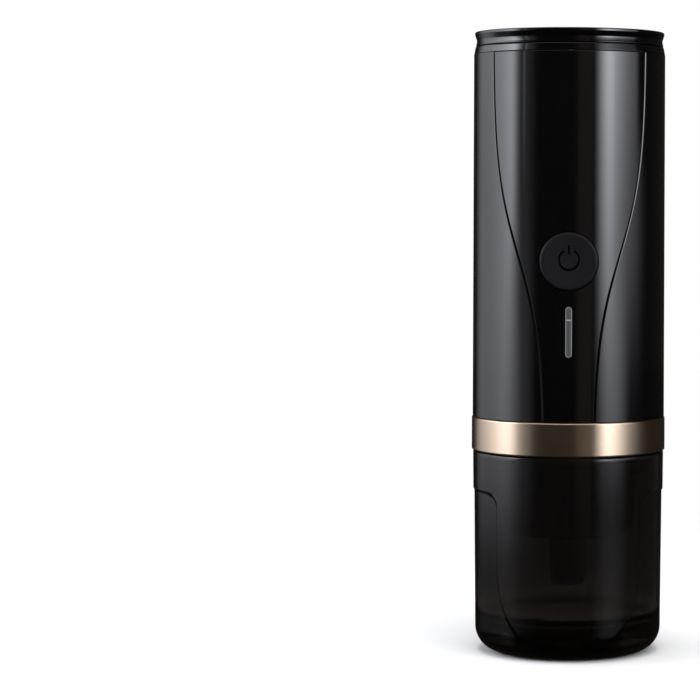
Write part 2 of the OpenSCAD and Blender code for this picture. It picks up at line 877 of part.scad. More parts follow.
module post_screw() {
    screw(deck_t + post_screw_grip, small_head_r, small_head_h, small_screw_r);
}

module post_screws() {
    color([0.6, 0.6, 0.62]) {
        translate([0, 0, z_lower - contact]) post_places() post_screw();
        translate([0, 0, z_upper_top + contact]) post_places() mirror([0, 0, 1]) post_screw();
    }
}

module battery_cells() {
    length = cell_l - 2 * cell_end;
    color([0.16, 0.3, 0.55]) translate([0, 0, z_cell + cell_end - rest_gap])
        around(cell_angles, cell_place) {
            cylinder(d = cell_d, h = length - cell_nub);
            cylinder(d = cell_nub_d, h = length);
        }
}

// Strips from each cell to the next, as a flat shape
module link_shape(half_w) {
    chord = 2 * cell_place * sin(cell_step / 2);
    for (a = [90 - cell_step / 2, 90 + cell_step / 2])
        rotate(a) translate([cell_place * cos(cell_step / 2), 0])
            slot_shape(2 * half_w, chord + 2 * half_w);
}

// Nickel strips that join the cells in a row across their tops
module cell_links() {
    color([0.78, 0.77, 0.74]) translate([0, 0, z_cell + cell_l - cell_end - rest_gap + contact])
        linear_extrude(link_t) link_shape(link_half);
}

module pump_body() {
    color([0.86, 0.85, 0.82]) rotate_extrude() difference() {
        union() {
            translate([0, z_pump]) square([pump_r, z_pump_top - z_pump]);
            translate([0, z_plate + spigot_h + claw_gap]) square([nipple_r, z_pump - z_plate - spigot_h]);
            translate([0, z_pump_top - cut]) square([nipple_r, hose_grip + cut]);
        }
        translate([0, z_bore]) square([bore_r, z_bore_top - z_bore]);
        translate([0, z_plate]) square([water_r, z_pump_top + 2 * hose_grip - z_plate]);
    }
}

module pump_can() {
    color([0.55, 0.56, 0.58]) translate([0, 0, z_can]) difference() {
        cylinder(r = can_r, h = z_can_top - z_can);
        translate([0, 0, can_end]) cylinder(r = can_r - can_wall, h = z_can_top - z_can - 2 * can_end);
        translate([0, 0, -cut]) cylinder(r = pump_r + rest_gap, h = z_can_top - z_can + 2 * cut);
    }
}

module pump_coil() {
    color([0.62, 0.3, 0.14]) translate([0, 0, z_can + can_end + rest_gap])
        ring(can_r - can_wall - pump_fit, pump_r + pump_fit, z_can_top - z_can - 2 * (can_end + rest_gap));
}

module pump_mounts() {
    color([0.1, 0.1, 0.1]) for (z = [z_lower_top + contact, z_can_top + contact])
        translate([0, 0, z]) difference() {
            ring(mount_r, pump_r + pump_fit, mount_h - 2 * contact);
            translate([0, 0, mount_h / 2]) rotate_extrude() translate([mount_r + mount_groove_r / 2, 0])
                circle(r = mount_groove_r);
        }
}

module pump_plunger() {
    color([0.7, 0.7, 0.72]) translate([0, 0, z_plunger]) ring(plunger_d / 2, water_r - pump_fit, plunger_l);
}

module pump_spring() {
    sides = 6;
    per_turn = 8;
    coil_r = bore_r - spring_wire / 2 - spring_play;
    z0 = z_bore + spring_wire / 2 + spring_end;
    rise = z_plunger - z0 - spring_wire / 2 - 2 * spring_end;
    steps = spring_turns * per_turn;
    color([0.72, 0.72, 0.74]) polyhedron(
        [for (i = [0:steps], j = [0:sides - 1])
            let (a = 360 * i / per_turn, b = 360 * j / sides, r = coil_r + cos(b) * spring_wire / 2)
                [r * cos(a), r * sin(a), z0 + rise * i / steps + sin(b) * spring_wire / 2]],
        [for (f = tube_faces(steps + 1, sides)) [f[2], f[1], f[0]]]
    );
}

module charge_board() {
    color([0.05, 0.28, 0.16]) difference() {
        translate([-port_board_w / 2, port_mouth - port_board_back, z_port_board])
            cube([port_board_w, port_board_l, port_board_t]);
        translate([0, port_mouth - pad_back, z_port_board - cut]) for (x = [-1, 1] * pad_x)
            translate([x, 0, 0]) cylinder(r = small_screw_r + screw_fit, h = port_board_t + 2 * cut);
    }
}

module usb_port() {
    color([0.72, 0.72, 0.74]) translate([0, 0, z_port + contact]) {
        difference() {
            along_y(port_mouth - port_l, port_mouth) rotate(90) slot_shape(port_h, port_w);
            along_y(port_mouth - port_l + cut, port_mouth + cut)
                rotate(90) slot_shape(port_h - 2 * port_wall, port_w - 2 * port_wall);
        }
        along_y(port_mouth - port_l + cut - rest_gap, port_mouth - tongue_inset)
            square([tongue_w, tongue_t], center = true);
    }
}

module port_cover() {
    height = cover_h - 2 * cover_gap;
    outer = body_r - cover_sink;
    plate_right = knuckle_x - knuckle_r * 0.6;
    corner = 0.9;
    color([0.06, 0.06, 0.065]) difference() {
        union() {
            intersection() {
                translate([0, 0, z_port - height / 2]) ring(outer, outer - cover_t, height);
                translate([(cover_left + plate_right) / 2, 0, z_port]) along_y(0, body_r + cut)
                    rounded_shape(plate_right - cover_left, height, corner);
            }
            translate([knuckle_x, knuckle_y, z_port - height / 2]) cylinder(r = knuckle_r, h = height);
        }
        translate([knuckle_x, knuckle_y, z_port - height]) cylinder(r = pin_r + fit, h = 2 * height);
        // A nail notch at the free end
        translate([cover_left, body_r, z_port - notch_h / 2]) cylinder(r = notch_r, h = notch_h);
    }
}

module cover_pin() {
    color([0.7, 0.7, 0.72]) translate([knuckle_x, knuckle_y, z_port - cover_h / 2 - pin_bury])
        cylinder(r = pin_r, h = cover_h + 2 * pin_bury);
}

module brew_head() {
    spigot_top = z_plate + spigot_h - 2 * rest_gap;
    screen_seat = z_boss + screen_t / 2;
    chamber_h = 1;
    lip = 1;
    plate_fit = 0.2;
    post_r = 2.4;
    post_h = 1.2;
    screw_hole = 6;
    color([0.05, 0.05, 0.055]) difference() {
        union() {
            rotate_extrude() polygon([
                // The water way and the room above the shower screen
                [water_r, spigot_top], [water_r, z_boss + chamber_h], [screen_r - lip, z_boss + chamber_h],
                [screen_r - lip, screen_seat], [screen_r + rest_gap, screen_seat],
                [screen_r + rest_gap, z_boss], [boss_r, z_boss],
                // The socket, and the outside under the trim ring
                [boss_r, z_ceiling], [socket_r, z_ceiling], [socket_r, z_ring], [skirt_r, z_ring],
                [skirt_r, z_shell - contact], [shell_in - plate_fit, z_shell - contact],
                [shell_in - plate_fit, z_plate],
                [nipple_r, z_plate], [nipple_r, spigot_top]
            ]);
            // The bayonet ledge, between its gates
            for (a = claw_angles) translate([0, 0, z_ring + rest_gap])
                arc_block(a + claw_turn / 2, claw_turn - gate_arc,
                    ledge_r, socket_r + lip, bayonet_t - rest_gap);
            // Posts for the shower screen's screws
            translate([0, 0, screen_seat + contact])
                around(screen_screw_angles, screen_screw_place) cylinder(r = post_r, h = post_h);
            // Pads for the charging board
            for (x = [-1, 1] * pad_x) translate([x, port_mouth - pad_back, z_plate - cut])
                cylinder(r = pad_r, h = port_board_lift + cut - contact);
        }
        translate([0, 0, z_ceiling - cut]) around(housing_screw_angles, housing_screw_place) {
            cylinder(r = screw_r + screw_fit, h = z_plate - z_ceiling + 2 * cut);
            cylinder(r = screw_head_r + plate_fit, h = cut + screw_head_h + sink_gap);
        }
        translate([0, 0, z_boss - cut]) around(screen_screw_angles, screen_screw_place)
            cylinder(r = small_screw_r + screw_fit, h = cut + screw_hole);
    }
}

module housing_screws() {
    color([0.6, 0.6, 0.62]) translate([0, 0, z_ceiling + screw_head_h + sink_gap - contact])
        around(housing_screw_angles, housing_screw_place)
            screw(z_plate - z_ceiling - screw_head_h + under_h - sink_gap);
}

module brew_gasket() {
    color([0.65, 0.25, 0.16]) translate([0, 0, z_gasket])
        ring(boss_r - rest_gap, screen_r + 2 * rest_gap, gasket_t - contact);
}

// A disc of small holes in rings, for the screen and the basket floor
module hole_field(rings, step, hole_r, height) {
    for (k = [1:rings]) around([for (i = [0:6 * k - 1]) i * 60 / k + 7 * k], k * step)
        translate([0, 0, -cut]) cylinder(r = hole_r, h = height + 2 * cut);
}

module shower_screen() {
    hole_r = 0.55;
    screw_hole_r = 1.3;
    color([0.76, 0.76, 0.77]) translate([0, 0, z_boss - screen_t / 2]) difference() {
        cylinder(r = screen_r, h = screen_t);
        hole_field(screen_holes, (screen_r - screen_margin) / screen_holes, hole_r, screen_t);
        translate([0, 0, -cut]) around(screen_screw_angles, screen_screw_place)
            cylinder(r = screw_hole_r, h = screen_t + 2 * cut);
    }
}

module screen_screws() {
    color([0.6, 0.6, 0.62]) translate([0, 0, z_boss - screen_t / 2 - contact])
        around(screen_screw_angles, screen_screw_place)
            screw(screen_screw_l, small_head_r, screen_head_h, small_screw_r);
}

module cup_seal() {
    color([0.3, 0.3, 0.31]) translate([0, 0, z_seal]) rotate_extrude()
        translate([seal_place, 0]) circle(d = seal_d);
}

module filter_basket() {
    hole_r = 0.4;
    color([0.76, 0.76, 0.77]) difference() {
        rotate_extrude() difference() {
            union() {
                translate([0, z_basket]) square([basket_r, basket_h]);
                translate([0, z_rim]) square([basket_rim, rim_t]);
            }
            translate([0, z_basket + basket_t]) square([basket_r - basket_t, basket_h + cut]);
        }
        translate([0, 0, z_basket])
            hole_field(basket_holes, (basket_r - basket_margin) / basket_holes, hole_r, basket_t);
    }
}

module portafilter() {
    flutes = 18;
    flute_r = 1.7;
    flute_foot = 6;
    flute_head = 2;
    bevel = 3;
    waist = porta_r - 1.8;
    skirt_top = z_ring - claw_gap;
    z_web = skirt_top - skirt_wall;
    groove = seal_d + 3 * rest_gap;
    groove_r = skirt_r - seal_d;
    color([0.05, 0.05, 0.055]) difference() {
        union() {
            rotate_extrude() polygon([
                [spout_fit_r, z_porta], [waist - bevel, z_porta],
                [waist, z_porta + bevel], [porta_r, z_web],
                // The skirt that carries the cup, with the groove for its seal
                [skirt_in, z_web], [skirt_in, z_skirt], [skirt_r, z_skirt], [skirt_r, z_seal - groove / 2],
                [groove_r, z_seal - groove / 2], [groove_r, z_seal + groove / 2],
                [skirt_r, z_seal + groove / 2], [skirt_r, skirt_top], [porta_r, skirt_top],
                // The collar, and the seat of the basket inside it
                [porta_r, z_porta_top], [porta_bore, z_porta_top], [porta_bore, z_ledge],
                [basket_r + basket_gap, z_ledge], [basket_r + basket_gap, z_porta_in],
                [spout_fit_r, z_porta_in]
            ]);
            translate([0, 0, z_claw]) for (a = claw_angles)
                arc_block(a, claw_arc, porta_r - cut, claw_r, z_porta_top - z_claw - claw_gap);
        }
        // Finger flutes round the lower part
        translate([0, 0, z_porta + flute_foot])
            around([for (i = [0:flutes - 1]) (i + 0.5) * 360 / flutes], porta_r)
                cylinder(r = flute_r, h = z_skirt - z_porta - flute_foot - flute_head);
    }
}

module spout() {
    spout_r = spout_d / 2;
    lip_h = 1;
    lip_in = 3.2;
    lip_out = spout_r - 1.6;
    root_h = 3;
    root_r = spout_fit_r - screw_fit;
    z_root = z_porta - screw_fit;
    color([0.04, 0.04, 0.045]) rotate_extrude() polygon([
        [spout_bore, z_spout + 1.5 * lip_h], [lip_in, z_spout], [lip_out, z_spout],
        [(lip_out + spout_r) / 2, z_spout + lip_h], [spout_r, z_porta - root_h], [spout_r, z_root],
        [root_r, z_root], [root_r, z_porta_in], [spout_bore, z_porta_in]
    ]);
}

// Half of the cup's section: outside wall drawn in by a margin, as a cone with a rounded foot
module cup_section(inset, floor_z, round) {
    foot_r = cup_r - cup_draft - inset;
    difference() {
        polygon([[0, floor_z], [foot_r, floor_z], [cup_r - inset, cup_h + cut], [0, cup_h + cut]]);
        difference() {
            translate([foot_r - round, floor_z - cut]) square([round + cut, round + cut]);
            translate([foot_r - round, floor_z + round]) circle(round);
        }
    }
}

// Outline of a grip recess: round corners above, and edges that flare out towards the foot
module grip_shape(half, head) {
    corner = 4.5;
    flare_r = 45;
    flare_w = 16;
    flare_head = 32;
    translate([-half, 0]) square([2 * half, head - corner]);
    translate([corner - half, 0]) square([2 * (half - corner), head]);
    for (s = [-1, 1]) {
        translate([s * (half - corner), head - corner]) circle(corner);
        difference() {
            translate([s > 0 ? half - corner : -half - flare_w, 0]) square([flare_w + corner, flare_head]);
            translate([s * (half + flare_r), flare_head]) circle(flare_r);
        }
    }
}

module cup() {
    grip_head = z_skirt - 7.6;
    grip_margin = 11.8;
    grip_half = cup_r - grip_margin;
    foot_w = 3.5;
    hollow_r = cup_r - cup_round - foot_w;
    hollow_taper = 1.2;
    inner_round = 3;
    color([0.1, 0.1, 0.11]) difference() {
        rotate_extrude() difference() {
            cup_section(0, 0, cup_round);
            cup_section(cup_wall, cup_floor, inner_round);
            translate([0, cup_h]) square([body_d, 2 * cut]);
            polygon([[0, -cut], [hollow_r, -cut], [hollow_r - hollow_taper, foot_hollow], [0, foot_hollow]]);
        }
        // Shallow grip recesses at both sides, which run out into the rounded foot
        intersection() {
            difference() {
                cylinder(r = body_d, h = cup_h);
                rotate_extrude() polygon([
                    [0, -cut], [cup_r - cup_draft - grip_depth, -cut],
                    [cup_r - grip_depth, cup_h + cut], [0, cup_h + cut]
                ]);
            }
            rotate([90, 0, 90]) linear_extrude(2 * body_d, center = true) grip_shape(grip_half, grip_head);
        }
    }
}

rear_shell();
front_panel();
top_collar();
trim_ring();
light_bar();
lid_cap();
lid_plug();
lid_seal();
vent_valve();
power_button();
switch_stem();
tact_switch();
indicator_leds();
circuit_board();
board_screws();
water_tank();
tank_gasket();
heater_plate();
heater_element();
temperature_probe();
insulator_ring();
inlet_hose();
upper_deck();
lower_deck();
deck_posts();
post_screws();
battery_cells();
cell_links();
pump_body();
pump_can();
pump_coil();
pump_mounts();
pump_plunger();
pump_spring();
outlet_hose();
charge_board();
usb_port();
port_cover();
cover_pin();
brew_head();
housing_screws();
brew_gasket();
shower_screen();
screen_screws();
cup_seal();
filter_basket();
portafilter();
spout();
cup();
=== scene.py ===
# %% [markdown]
# # A portable espresso maker
# A slim black cylinder that heats its own water and pumps it through a small basket of coffee.
# It stands on its own smoky cup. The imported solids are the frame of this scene: they give the
# places and sizes, and the outer mouldings are drawn again here with rolled edges.

# %% Load the solids
import math

import bmesh
import bpy
import numpy as np
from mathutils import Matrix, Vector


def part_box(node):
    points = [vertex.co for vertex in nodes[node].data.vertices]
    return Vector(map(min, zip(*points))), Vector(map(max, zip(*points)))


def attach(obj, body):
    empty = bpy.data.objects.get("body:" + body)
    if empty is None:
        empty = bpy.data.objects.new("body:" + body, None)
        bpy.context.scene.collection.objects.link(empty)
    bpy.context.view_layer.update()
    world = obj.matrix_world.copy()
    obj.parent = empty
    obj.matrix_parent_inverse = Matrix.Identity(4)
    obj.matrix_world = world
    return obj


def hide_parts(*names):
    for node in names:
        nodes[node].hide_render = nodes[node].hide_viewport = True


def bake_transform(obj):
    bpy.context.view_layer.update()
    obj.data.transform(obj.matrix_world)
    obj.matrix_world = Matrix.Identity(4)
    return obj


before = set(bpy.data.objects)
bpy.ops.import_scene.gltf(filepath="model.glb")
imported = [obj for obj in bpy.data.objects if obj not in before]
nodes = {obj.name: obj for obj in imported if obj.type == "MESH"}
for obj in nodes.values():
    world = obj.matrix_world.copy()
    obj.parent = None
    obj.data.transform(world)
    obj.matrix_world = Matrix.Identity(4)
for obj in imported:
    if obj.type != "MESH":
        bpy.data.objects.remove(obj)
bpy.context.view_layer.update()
MM = 0.001

# %% [markdown]
# ## The camera
# The photo was taken from a little under a metre away, level with the upper body, with the maker
# standing right of the middle. The sides of the body stay parallel in it, so this camera looks straight
# ahead and its lens is shifted down and to the left, as on a view camera. The focal length comes from
# how much the rings of the body curve at different heights.

# %% Camera
IMAGE_PX = 700
FOCAL_PX = 2580
SENSOR_MM = 36
AXIS_PX = 569.1
HORIZON_PX = 200
CAMERA_AWAY = 0.959
CAMERA_HEIGHT = 0.1665
CAMERA_ROLL = -0.004


def put(name, data):
    """Adds an object with this data to the scene."""
    thing = bpy.data.objects.new(name, data)
    bpy.context.scene.collection.objects.link(thing)
    return thing


camera_data = bpy.data.cameras.new("camera")
camera_data.sensor_width = SENSOR_MM
camera_data.lens = FOCAL_PX / IMAGE_PX * SENSOR_MM
camera_data.shift_x = (IMAGE_PX / 2 - AXIS_PX) / IMAGE_PX
camera_data.shift_y = (HORIZON_PX - IMAGE_PX / 2) / IMAGE_PX
camera = put("camera", camera_data)
camera.location = (0, -CAMERA_AWAY, CAMERA_HEIGHT)
camera.rotation_euler = (math.pi / 2, CAMERA_ROLL, 0)
bpy.context.scene.camera = camera
bpy.context.scene.view_settings.view_transform = "Standard"
print("camera lens in mm", round(camera_data.lens, 1))

# %% [markdown]
# ## Shader sums
# A shader tree is easier to read as a formula than as a list of nodes. This class wraps one socket,
# and the usual operators add the Math nodes. Every other node comes from `add`, which takes the
# node's type, then its settings, then the values or links of its sockets.

# %% Wires


class Wire:
    """One output socket of a shader tree, to be used in sums such as 1 - mask * 0.5."""

    def __init__(self, socket):
        self.socket = socket

    def add(self, kind, settings=None, inputs=None, out=0):
        """Adds a node to the same tree and returns a Wire for its output `out`."""
        tree = self.socket.id_data
        node = tree.nodes.new(kind)
        for key, value in (settings or {}).items():
            setattr(node, key, value)
        for key, value in (inputs or {}).items():
            if isinstance(value, Wire):
                tree.links.new(value.socket, node.inputs[key])
            else:
                node.inputs[key].default_value = value
        return Wire(node.outputs[out])

    def sum(self, operation, first, second):
        return self.add("ShaderNodeMath", {"operation": operation}, {0: first, 1: second})

    def __add__(self, other):
        return self.sum("ADD", self, other)

    __radd__ = __add__

    def __rsub__(self, other):
        return self.sum("SUBTRACT", other, self)

    def __mul__(self, other):
        return self.sum("MULTIPLY", self, other)

    __rmul__ = __mul__

    def colours(self, low, high):
        """The colour that goes from low to high as this value goes from 0 to 1."""
        return self.add("ShaderNodeMix", {"data_type": "RGBA"}, {0: self, 6: low, 7: high}, out=2)

    def stretched(self, scale):
        """These coordinates, scaled along each axis."""
        return self.add("ShaderNodeMapping", None, {"Vector": self, "Scale": scale})

    def noise(self, scale, detail=2.0):
        """Cloudy noise from 0 to 1; scale is the number of lumps in a metre."""
        return self.add("ShaderNodeTexNoise", None, {"Vector": self, "Scale": scale, "Detail": detail})

    def step(self, low, high):
        """A soft step: 0 below low, 1 above high, an S-curve between."""
        limits = {"Value": self, "From Min": low, "From Max": high}
        return self.add("ShaderNodeMapRange", {"interpolation_type": "SMOOTHSTEP"}, limits)

    def relief(self, height_mm, strength=1.0):
        """A bump that takes this value as a height, as a share of height_mm."""
        sockets = {"Height": self, "Distance": height_mm * MM, "Strength": strength}
        return self.add("ShaderNodeBump", None, sockets)


# %% [markdown]
# A finish is one Principled shader. What is the same everywhere is set as a constant, and a paint function
# gives what varies, such as clouds in the colour.

# %% Finishes


def rgba(red, green, blue):
    return (red, green, blue, 1.0)


def make_finish(name, constants, paint):
    """A Principled material. Constants go onto the shader's sockets; paint(place) returns the rest."""
    material = bpy.data.materials.new(name)
    material.use_nodes = True
    tree = material.node_tree
    shader = tree.nodes["Principled BSDF"]
    for socket, value in constants.items():
        shader.inputs[socket].default_value = value
    place = Wire(tree.nodes.new("ShaderNodeTexCoord").outputs["Object"])
    for socket, wire in paint(place).items():
        tree.links.new(wire.socket, shader.inputs[socket])
    return material


# %% [markdown]
# ## Black mouldings
# The shell, panel, collar and lid are one gloss black plastic. Real gloss mouldings are never quite
# even: the polish has faint clouds, there is a little dust, and the surface rolls very slightly.
# A noise in the roughness and a bump of a few micrometres give that without showing as a pattern.

# %% Gloss black


def paint_gloss(place):
    clouds = place.noise(38, 3)
    dust = place.noise(2600, 1).step(0.70, 0.78)
    roll = place.noise(160, 1)
    return {
        "Base Color": clouds.colours(rgba(0.0003, 0.0003, 0.0005), rgba(0.0009, 0.0009, 0.0012)),
        "Roughness": 0.075 + clouds * 0.05 + dust * 0.10,
        "Normal": roll.relief(0.004, 0.5),
    }


GLOSS = {"IOR": 1.62, "Coat Weight": 0.35, "Coat Roughness": 0.03}
gloss_black = make_finish("gloss_black", GLOSS, paint_gloss)
print("finish", gloss_black.name)

# %% [markdown]
# The inner mouldings are the same plastic with an eroded matte skin, as tool makers give to parts
# that are handled. Its grain is a fine noise in the bump, with the roughness a little uneven.

# %% Matte mouldings


def grainy(dark, light, rough, grain_mm=0.012, lumps=4200):
    """A moulded skin: clouds between two colours, and a fine grain of grain_mm height."""

    def paint(place):
        clouds = place.noise(90, 3)
        grain = place.noise(lumps, 2)
        return {
            "Base Color": clouds.colours(rgba(*dark), rgba(*light)),
            "Roughness": rough - 0.06 + clouds * 0.08 + grain * 0.06,
            "Normal": grain.relief(grain_mm, 0.6),
        }

    return paint


def moulding(name, ior, *skin):
    """A moulded finish with this index of refraction; the rest goes to grainy."""
    return make_finish(name, {"IOR": ior}, grainy(*skin))


black_moulding = moulding("black_moulding", 1.5, (0.010, 0.010, 0.011), (0.017, 0.017, 0.018), 0.42)
grey_moulding = moulding("grey_moulding", 1.5, (0.060, 0.061, 0.065), (0.085, 0.086, 0.09), 0.5)
pale_moulding = moulding("pale_moulding", 1.5, (0.62, 0.59, 0.53), (0.72, 0.69, 0.63), 0.5)
dark_rubber = moulding("dark_rubber", 1.45, (0.012, 0.012, 0.013), (0.022, 0.022, 0.024), 0.68, 0.02, 3000)
red_silicone = moulding("red_silicone", 1.43, (0.36, 0.055, 0.03), (0.46, 0.085, 0.045), 0.5, 0.008, 2600)
clear_silicone = make_finish(
    "clear_silicone",
    {"IOR": 1.41, "Transmission Weight": 0.35},
    grainy((0.66, 0.66, 0.64), (0.76, 0.76, 0.74), 0.42, 0.008, 2400),
)
print("mouldings", black_moulding.name, grey_moulding.name, pale_moulding.name)

# %% [markdown]
# ## Champagne ring
# The ring is aluminium, spun on a lathe with a fine brush and then anodised. The brush leaves
# scratches round the axis, so the noise is stretched: coarse along the ring and very fine up it.

# %% Champagne metal


def turned_metal(colour, shade, rough, across=16000.0):
    """Lathe-brushed metal: thin lines round the axis, from a noise stretched along X and Y."""

    def paint(place):
        lines = place.stretched((40.0, 40.0, across)).noise(1.0, 2)
        clouds = place.noise(70, 2)
        return {
            "Base Color": (lines * 0.5 + clouds * 0.5).colours(rgba(*shade), rgba(*colour)),
            "Roughness": rough - 0.03 + lines * 0.04 + clouds * 0.02,
            "Normal": lines.relief(0.0012, 0.2),
        }

    return paint


BRUSHED = {"Metallic": 1.0, "Anisotropic": 0.8, "Anisotropic Rotation": 0.25}
champagne = make_finish("champagne", BRUSHED, turned_metal((0.95, 0.76, 0.57), (0.89, 0.69, 0.505), 0.26))
steel = make_finish("steel", {"Metallic": 1.0}, turned_metal((0.66, 0.66, 0.665), (0.56, 0.56, 0.57), 0.27))
aluminium = make_finish(
    "aluminium", {"Metallic": 1.0}, turned_metal((0.78, 0.785, 0.79), (0.68, 0.685, 0.69), 0.36, 5000.0)
)
print("metals", champagne.name, steel.name, aluminium.name)

# %% [markdown]
# Zinc-plated screws and cans have no brush lines. They show the soft grey clouds of the plating, so here
# the noise is even in all directions.

# %% Zinc plate


def paint_zinc(place):
    clouds = place.noise(420, 3)
    fine = place.noise(5200, 2)
    return {
        "Base Color": clouds.colours(rgba(0.50, 0.51, 0.53), rgba(0.64, 0.65, 0.66)),
        "Roughness": 0.24 + clouds * 0.12 + fine * 0.05,
        "Normal": fine.relief(0.004, 0.4),
    }


zinc = make_finish("zinc", {"Metallic": 1.0}, paint_zinc)
print("finish", zinc.name)

# %% [markdown]
# ## Smoky cup
# The cup is a clear plastic with a lot of black dye, so it looks black, with a brown cast where it is thin.
# The dye goes in the colour of the transmission, and faint flow marks from the mould go in the bump. The
# colour also changes with the height, as painted light: the foot below the cup's raised floor is painted
# almost black, a painted shade over the light the solid base would let through; just above it a lighter brown
# band is a painted glow; higher up the smoke is darker. At a slant the way through the wall is longer, and a
# Layer
# Weight darkens it.

# %% Smoke
# The two height ranges bound the painted shade on the foot and the painted brown glow above it.
PAINTED_FOOT_SHADE_TOP, PAINTED_BROWN_GLOW_TOP = (0.0122, 0.0155), (0.016, 0.026)


def paint_smoke(place):
    flow = place.stretched((26.0, 26.0, 9.0)).noise(1.0, 2)
    smears = place.noise(60, 3)
    slant = place.add("ShaderNodeLayerWeight", None, {"Blend": 0.5}, out="Facing").step(0.2, 0.75)
    rise = place.add("ShaderNodeSeparateXYZ", None, {0: place}, out="Z")
    # Painted light: a lighter brown band stands in for a glow, and below it the foot is painted near black as
    # shade.
    wall = rise.step(*PAINTED_BROWN_GLOW_TOP).colours(rgba(0.115, 0.088, 0.072), rgba(0.050, 0.044, 0.042))
    smoke_dye_and_painted_light = rise.step(*PAINTED_FOOT_SHADE_TOP).colours(rgba(0.0007, 0.0006, 0.0005), wall)
    return {
        "Base Color": slant.colours(smoke_dye_and_painted_light, rgba(0.0008, 0.0007, 0.0007)),
        "Roughness": 0.05 + smears * 0.05,
        "Normal": flow.relief(0.02, 0.35),
    }


smoke = make_finish("smoke", {"Transmission Weight": 1.0, "IOR": 1.56}, paint_smoke)
print("finish", smoke.name)

# %% [markdown]
# ## Small finishes
# The button has a soft matte skin, and its sunk sign is gloss like the body and painted near black, a little
# wider than its recess, as painted shade. The light bar is milky, with its rim and split line painted paler
# as a painted highlight. The pieces carry attributes for the sign and the rim, so the paint follows the
# shape.

# %% Button skin and light diffuser


def paint_button(place):
    grain = place.noise(5200, 2)
    clouds = place.noise(120, 3)
    sunk = place.add("ShaderNodeAttribute", {"attribute_name": "sunk"}, out="Fac")
    return {
        # The sign's near black is painted shade in the recess; its gloss comes from the lower roughness.
        "Base Color": sunk.colours(rgba(0.0026, 0.0029, 0.0038), rgba(0.0002, 0.0002, 0.0003)),
        "Roughness": (0.50 + clouds * 0.08 + grain * 0.05) * (1 - sunk * 0.84),
        "Normal": grain.relief(0.008, 0.5),
    }


def paint_diffuser(place):
    # The rim and the split line are painted paler: a painted highlight along the lens's edges.
    rim = place.add("ShaderNodeAttribute", {"attribute_name": "rim"}, out="Fac")
    clouds = place.noise(500, 3)
    milk_and_rim_highlight = (0.06 * clouds + 0.94 * rim).colours(rgba(0.038, 0.040, 0.041), rgba(0.34, 0.345, 0.35))
    return {"Base Color": milk_and_rim_highlight, "Roughness": 0.30 + clouds * 0.12, "Normal": clouds.relief(0.01, 0.4)}


button_skin = make_finish("button_skin", {"IOR": 1.48}, paint_button)
diffuser = make_finish("diffuser", {"IOR": 1.5}, paint_diffuser)
print("finishes", button_skin.name, diffuser.name)

# %% [markdown]
# Inside are parts that show only when the maker comes apart: shrink wrap on the cells, solder resist
# on the boards, enamelled wire on the coil, and the small lamps behind the light bar. Three of them follow
# one stretched noise, so one function paints them.

# %% Finishes of the inside


def patterned(scale, detail, dark, light, rough, spread, height_mm, strength):
    """A skin whose colour, roughness and relief all follow one stretched noise."""

    def paint(place):
        pattern = place.stretched(scale).noise(1.0, detail)
        return {
            "Base Color": pattern.colours(rgba(*dark), rgba(*light)),
            "Roughness": rough + pattern * spread,
            "Normal": pattern.relief(height_mm, strength),
        }

    return paint


def paint_board(place):
    cells = place.add(
        "ShaderNodeTexVoronoi", {"feature": "DISTANCE_TO_EDGE"}, {"Vector": place, "Scale": 380.0}
    )
    tracks = cells.step(0.10, 0.16)
    pads = place.add("ShaderNodeTexVoronoi", None, {"Vector": place, "Scale": 520.0}).step(0.20, 0.16)
    green = tracks.colours(rgba(0.014, 0.16, 0.07), rgba(0.006, 0.085, 0.04))
    return {
        "Base Color": pads.colours(green, rgba(0.7, 0.68, 0.6)),
        "Metallic": pads * 0.9,
        "Roughness": 0.30 + tracks * 0.08,
        "Normal": tracks.relief(0.03, 0.5),
    }


paint_wrap = patterned((300, 300, 40), 3, (0.012, 0.055, 0.16), (0.02, 0.085, 0.24), 0.24, 0.16, 0.03, 0.3)
paint_winding = patterned((20, 20, 2600), 1, (0.34, 0.11, 0.035), (0.62, 0.26, 0.10), 0.22, 0.14, 0.12, 0.6)
paint_lamp = patterned((900, 900, 900), 2, (0.80, 0.74, 0.52), (0.92, 0.89, 0.76), 0.20, 0.15, 0.01, 0.3)
cell_wrap = make_finish("cell_wrap", {"IOR": 1.5}, paint_wrap)
board = make_finish("board", {"IOR": 1.5}, paint_board)
copper_winding = make_finish("copper_winding", {"Metallic": 0.85}, paint_winding)
lamp = make_finish("lamp", {"IOR": 1.5}, paint_lamp)
print("finishes", len(bpy.data.materials))

# %% [markdown]
# ## Surfaces from grids
# Each outer piece is one grid of points: rows follow a profile, columns follow a path. Four
# neighbours make a face. Where rows meet in a point, or the last column meets the first, equal
# points are merged, so that the piece is a closed skin with no seam.

# %% Grid to piece
MERGE = 1e-7
SHARP = math.radians(38)


def grid_mesh(name, grid, wrap_rows=True, skip=None):
    """Quads between neighbours of a grid (rows, columns, 3) in mm; columns wrap round, rows too if asked.

    skip is True for each quad (rows, columns) that is left out.
    """
    rows, columns = grid.shape[:2]
    number = np.arange(rows * columns).reshape(rows, columns)
    below = number if wrap_rows else number[:-1]
    above = np.roll(number, -1, 0) if wrap_rows else number[1:]
    faces = np.stack([below, np.roll(below, -1, 1), np.roll(above, -1, 1), above], -1)
    faces = faces.reshape(-1, 4) if skip is None else faces[~skip]
    mesh = bpy.data.meshes.new(name)
    mesh.from_pydata((grid.reshape(-1, 3) * MM).tolist(), [], faces.tolist())
    return mesh


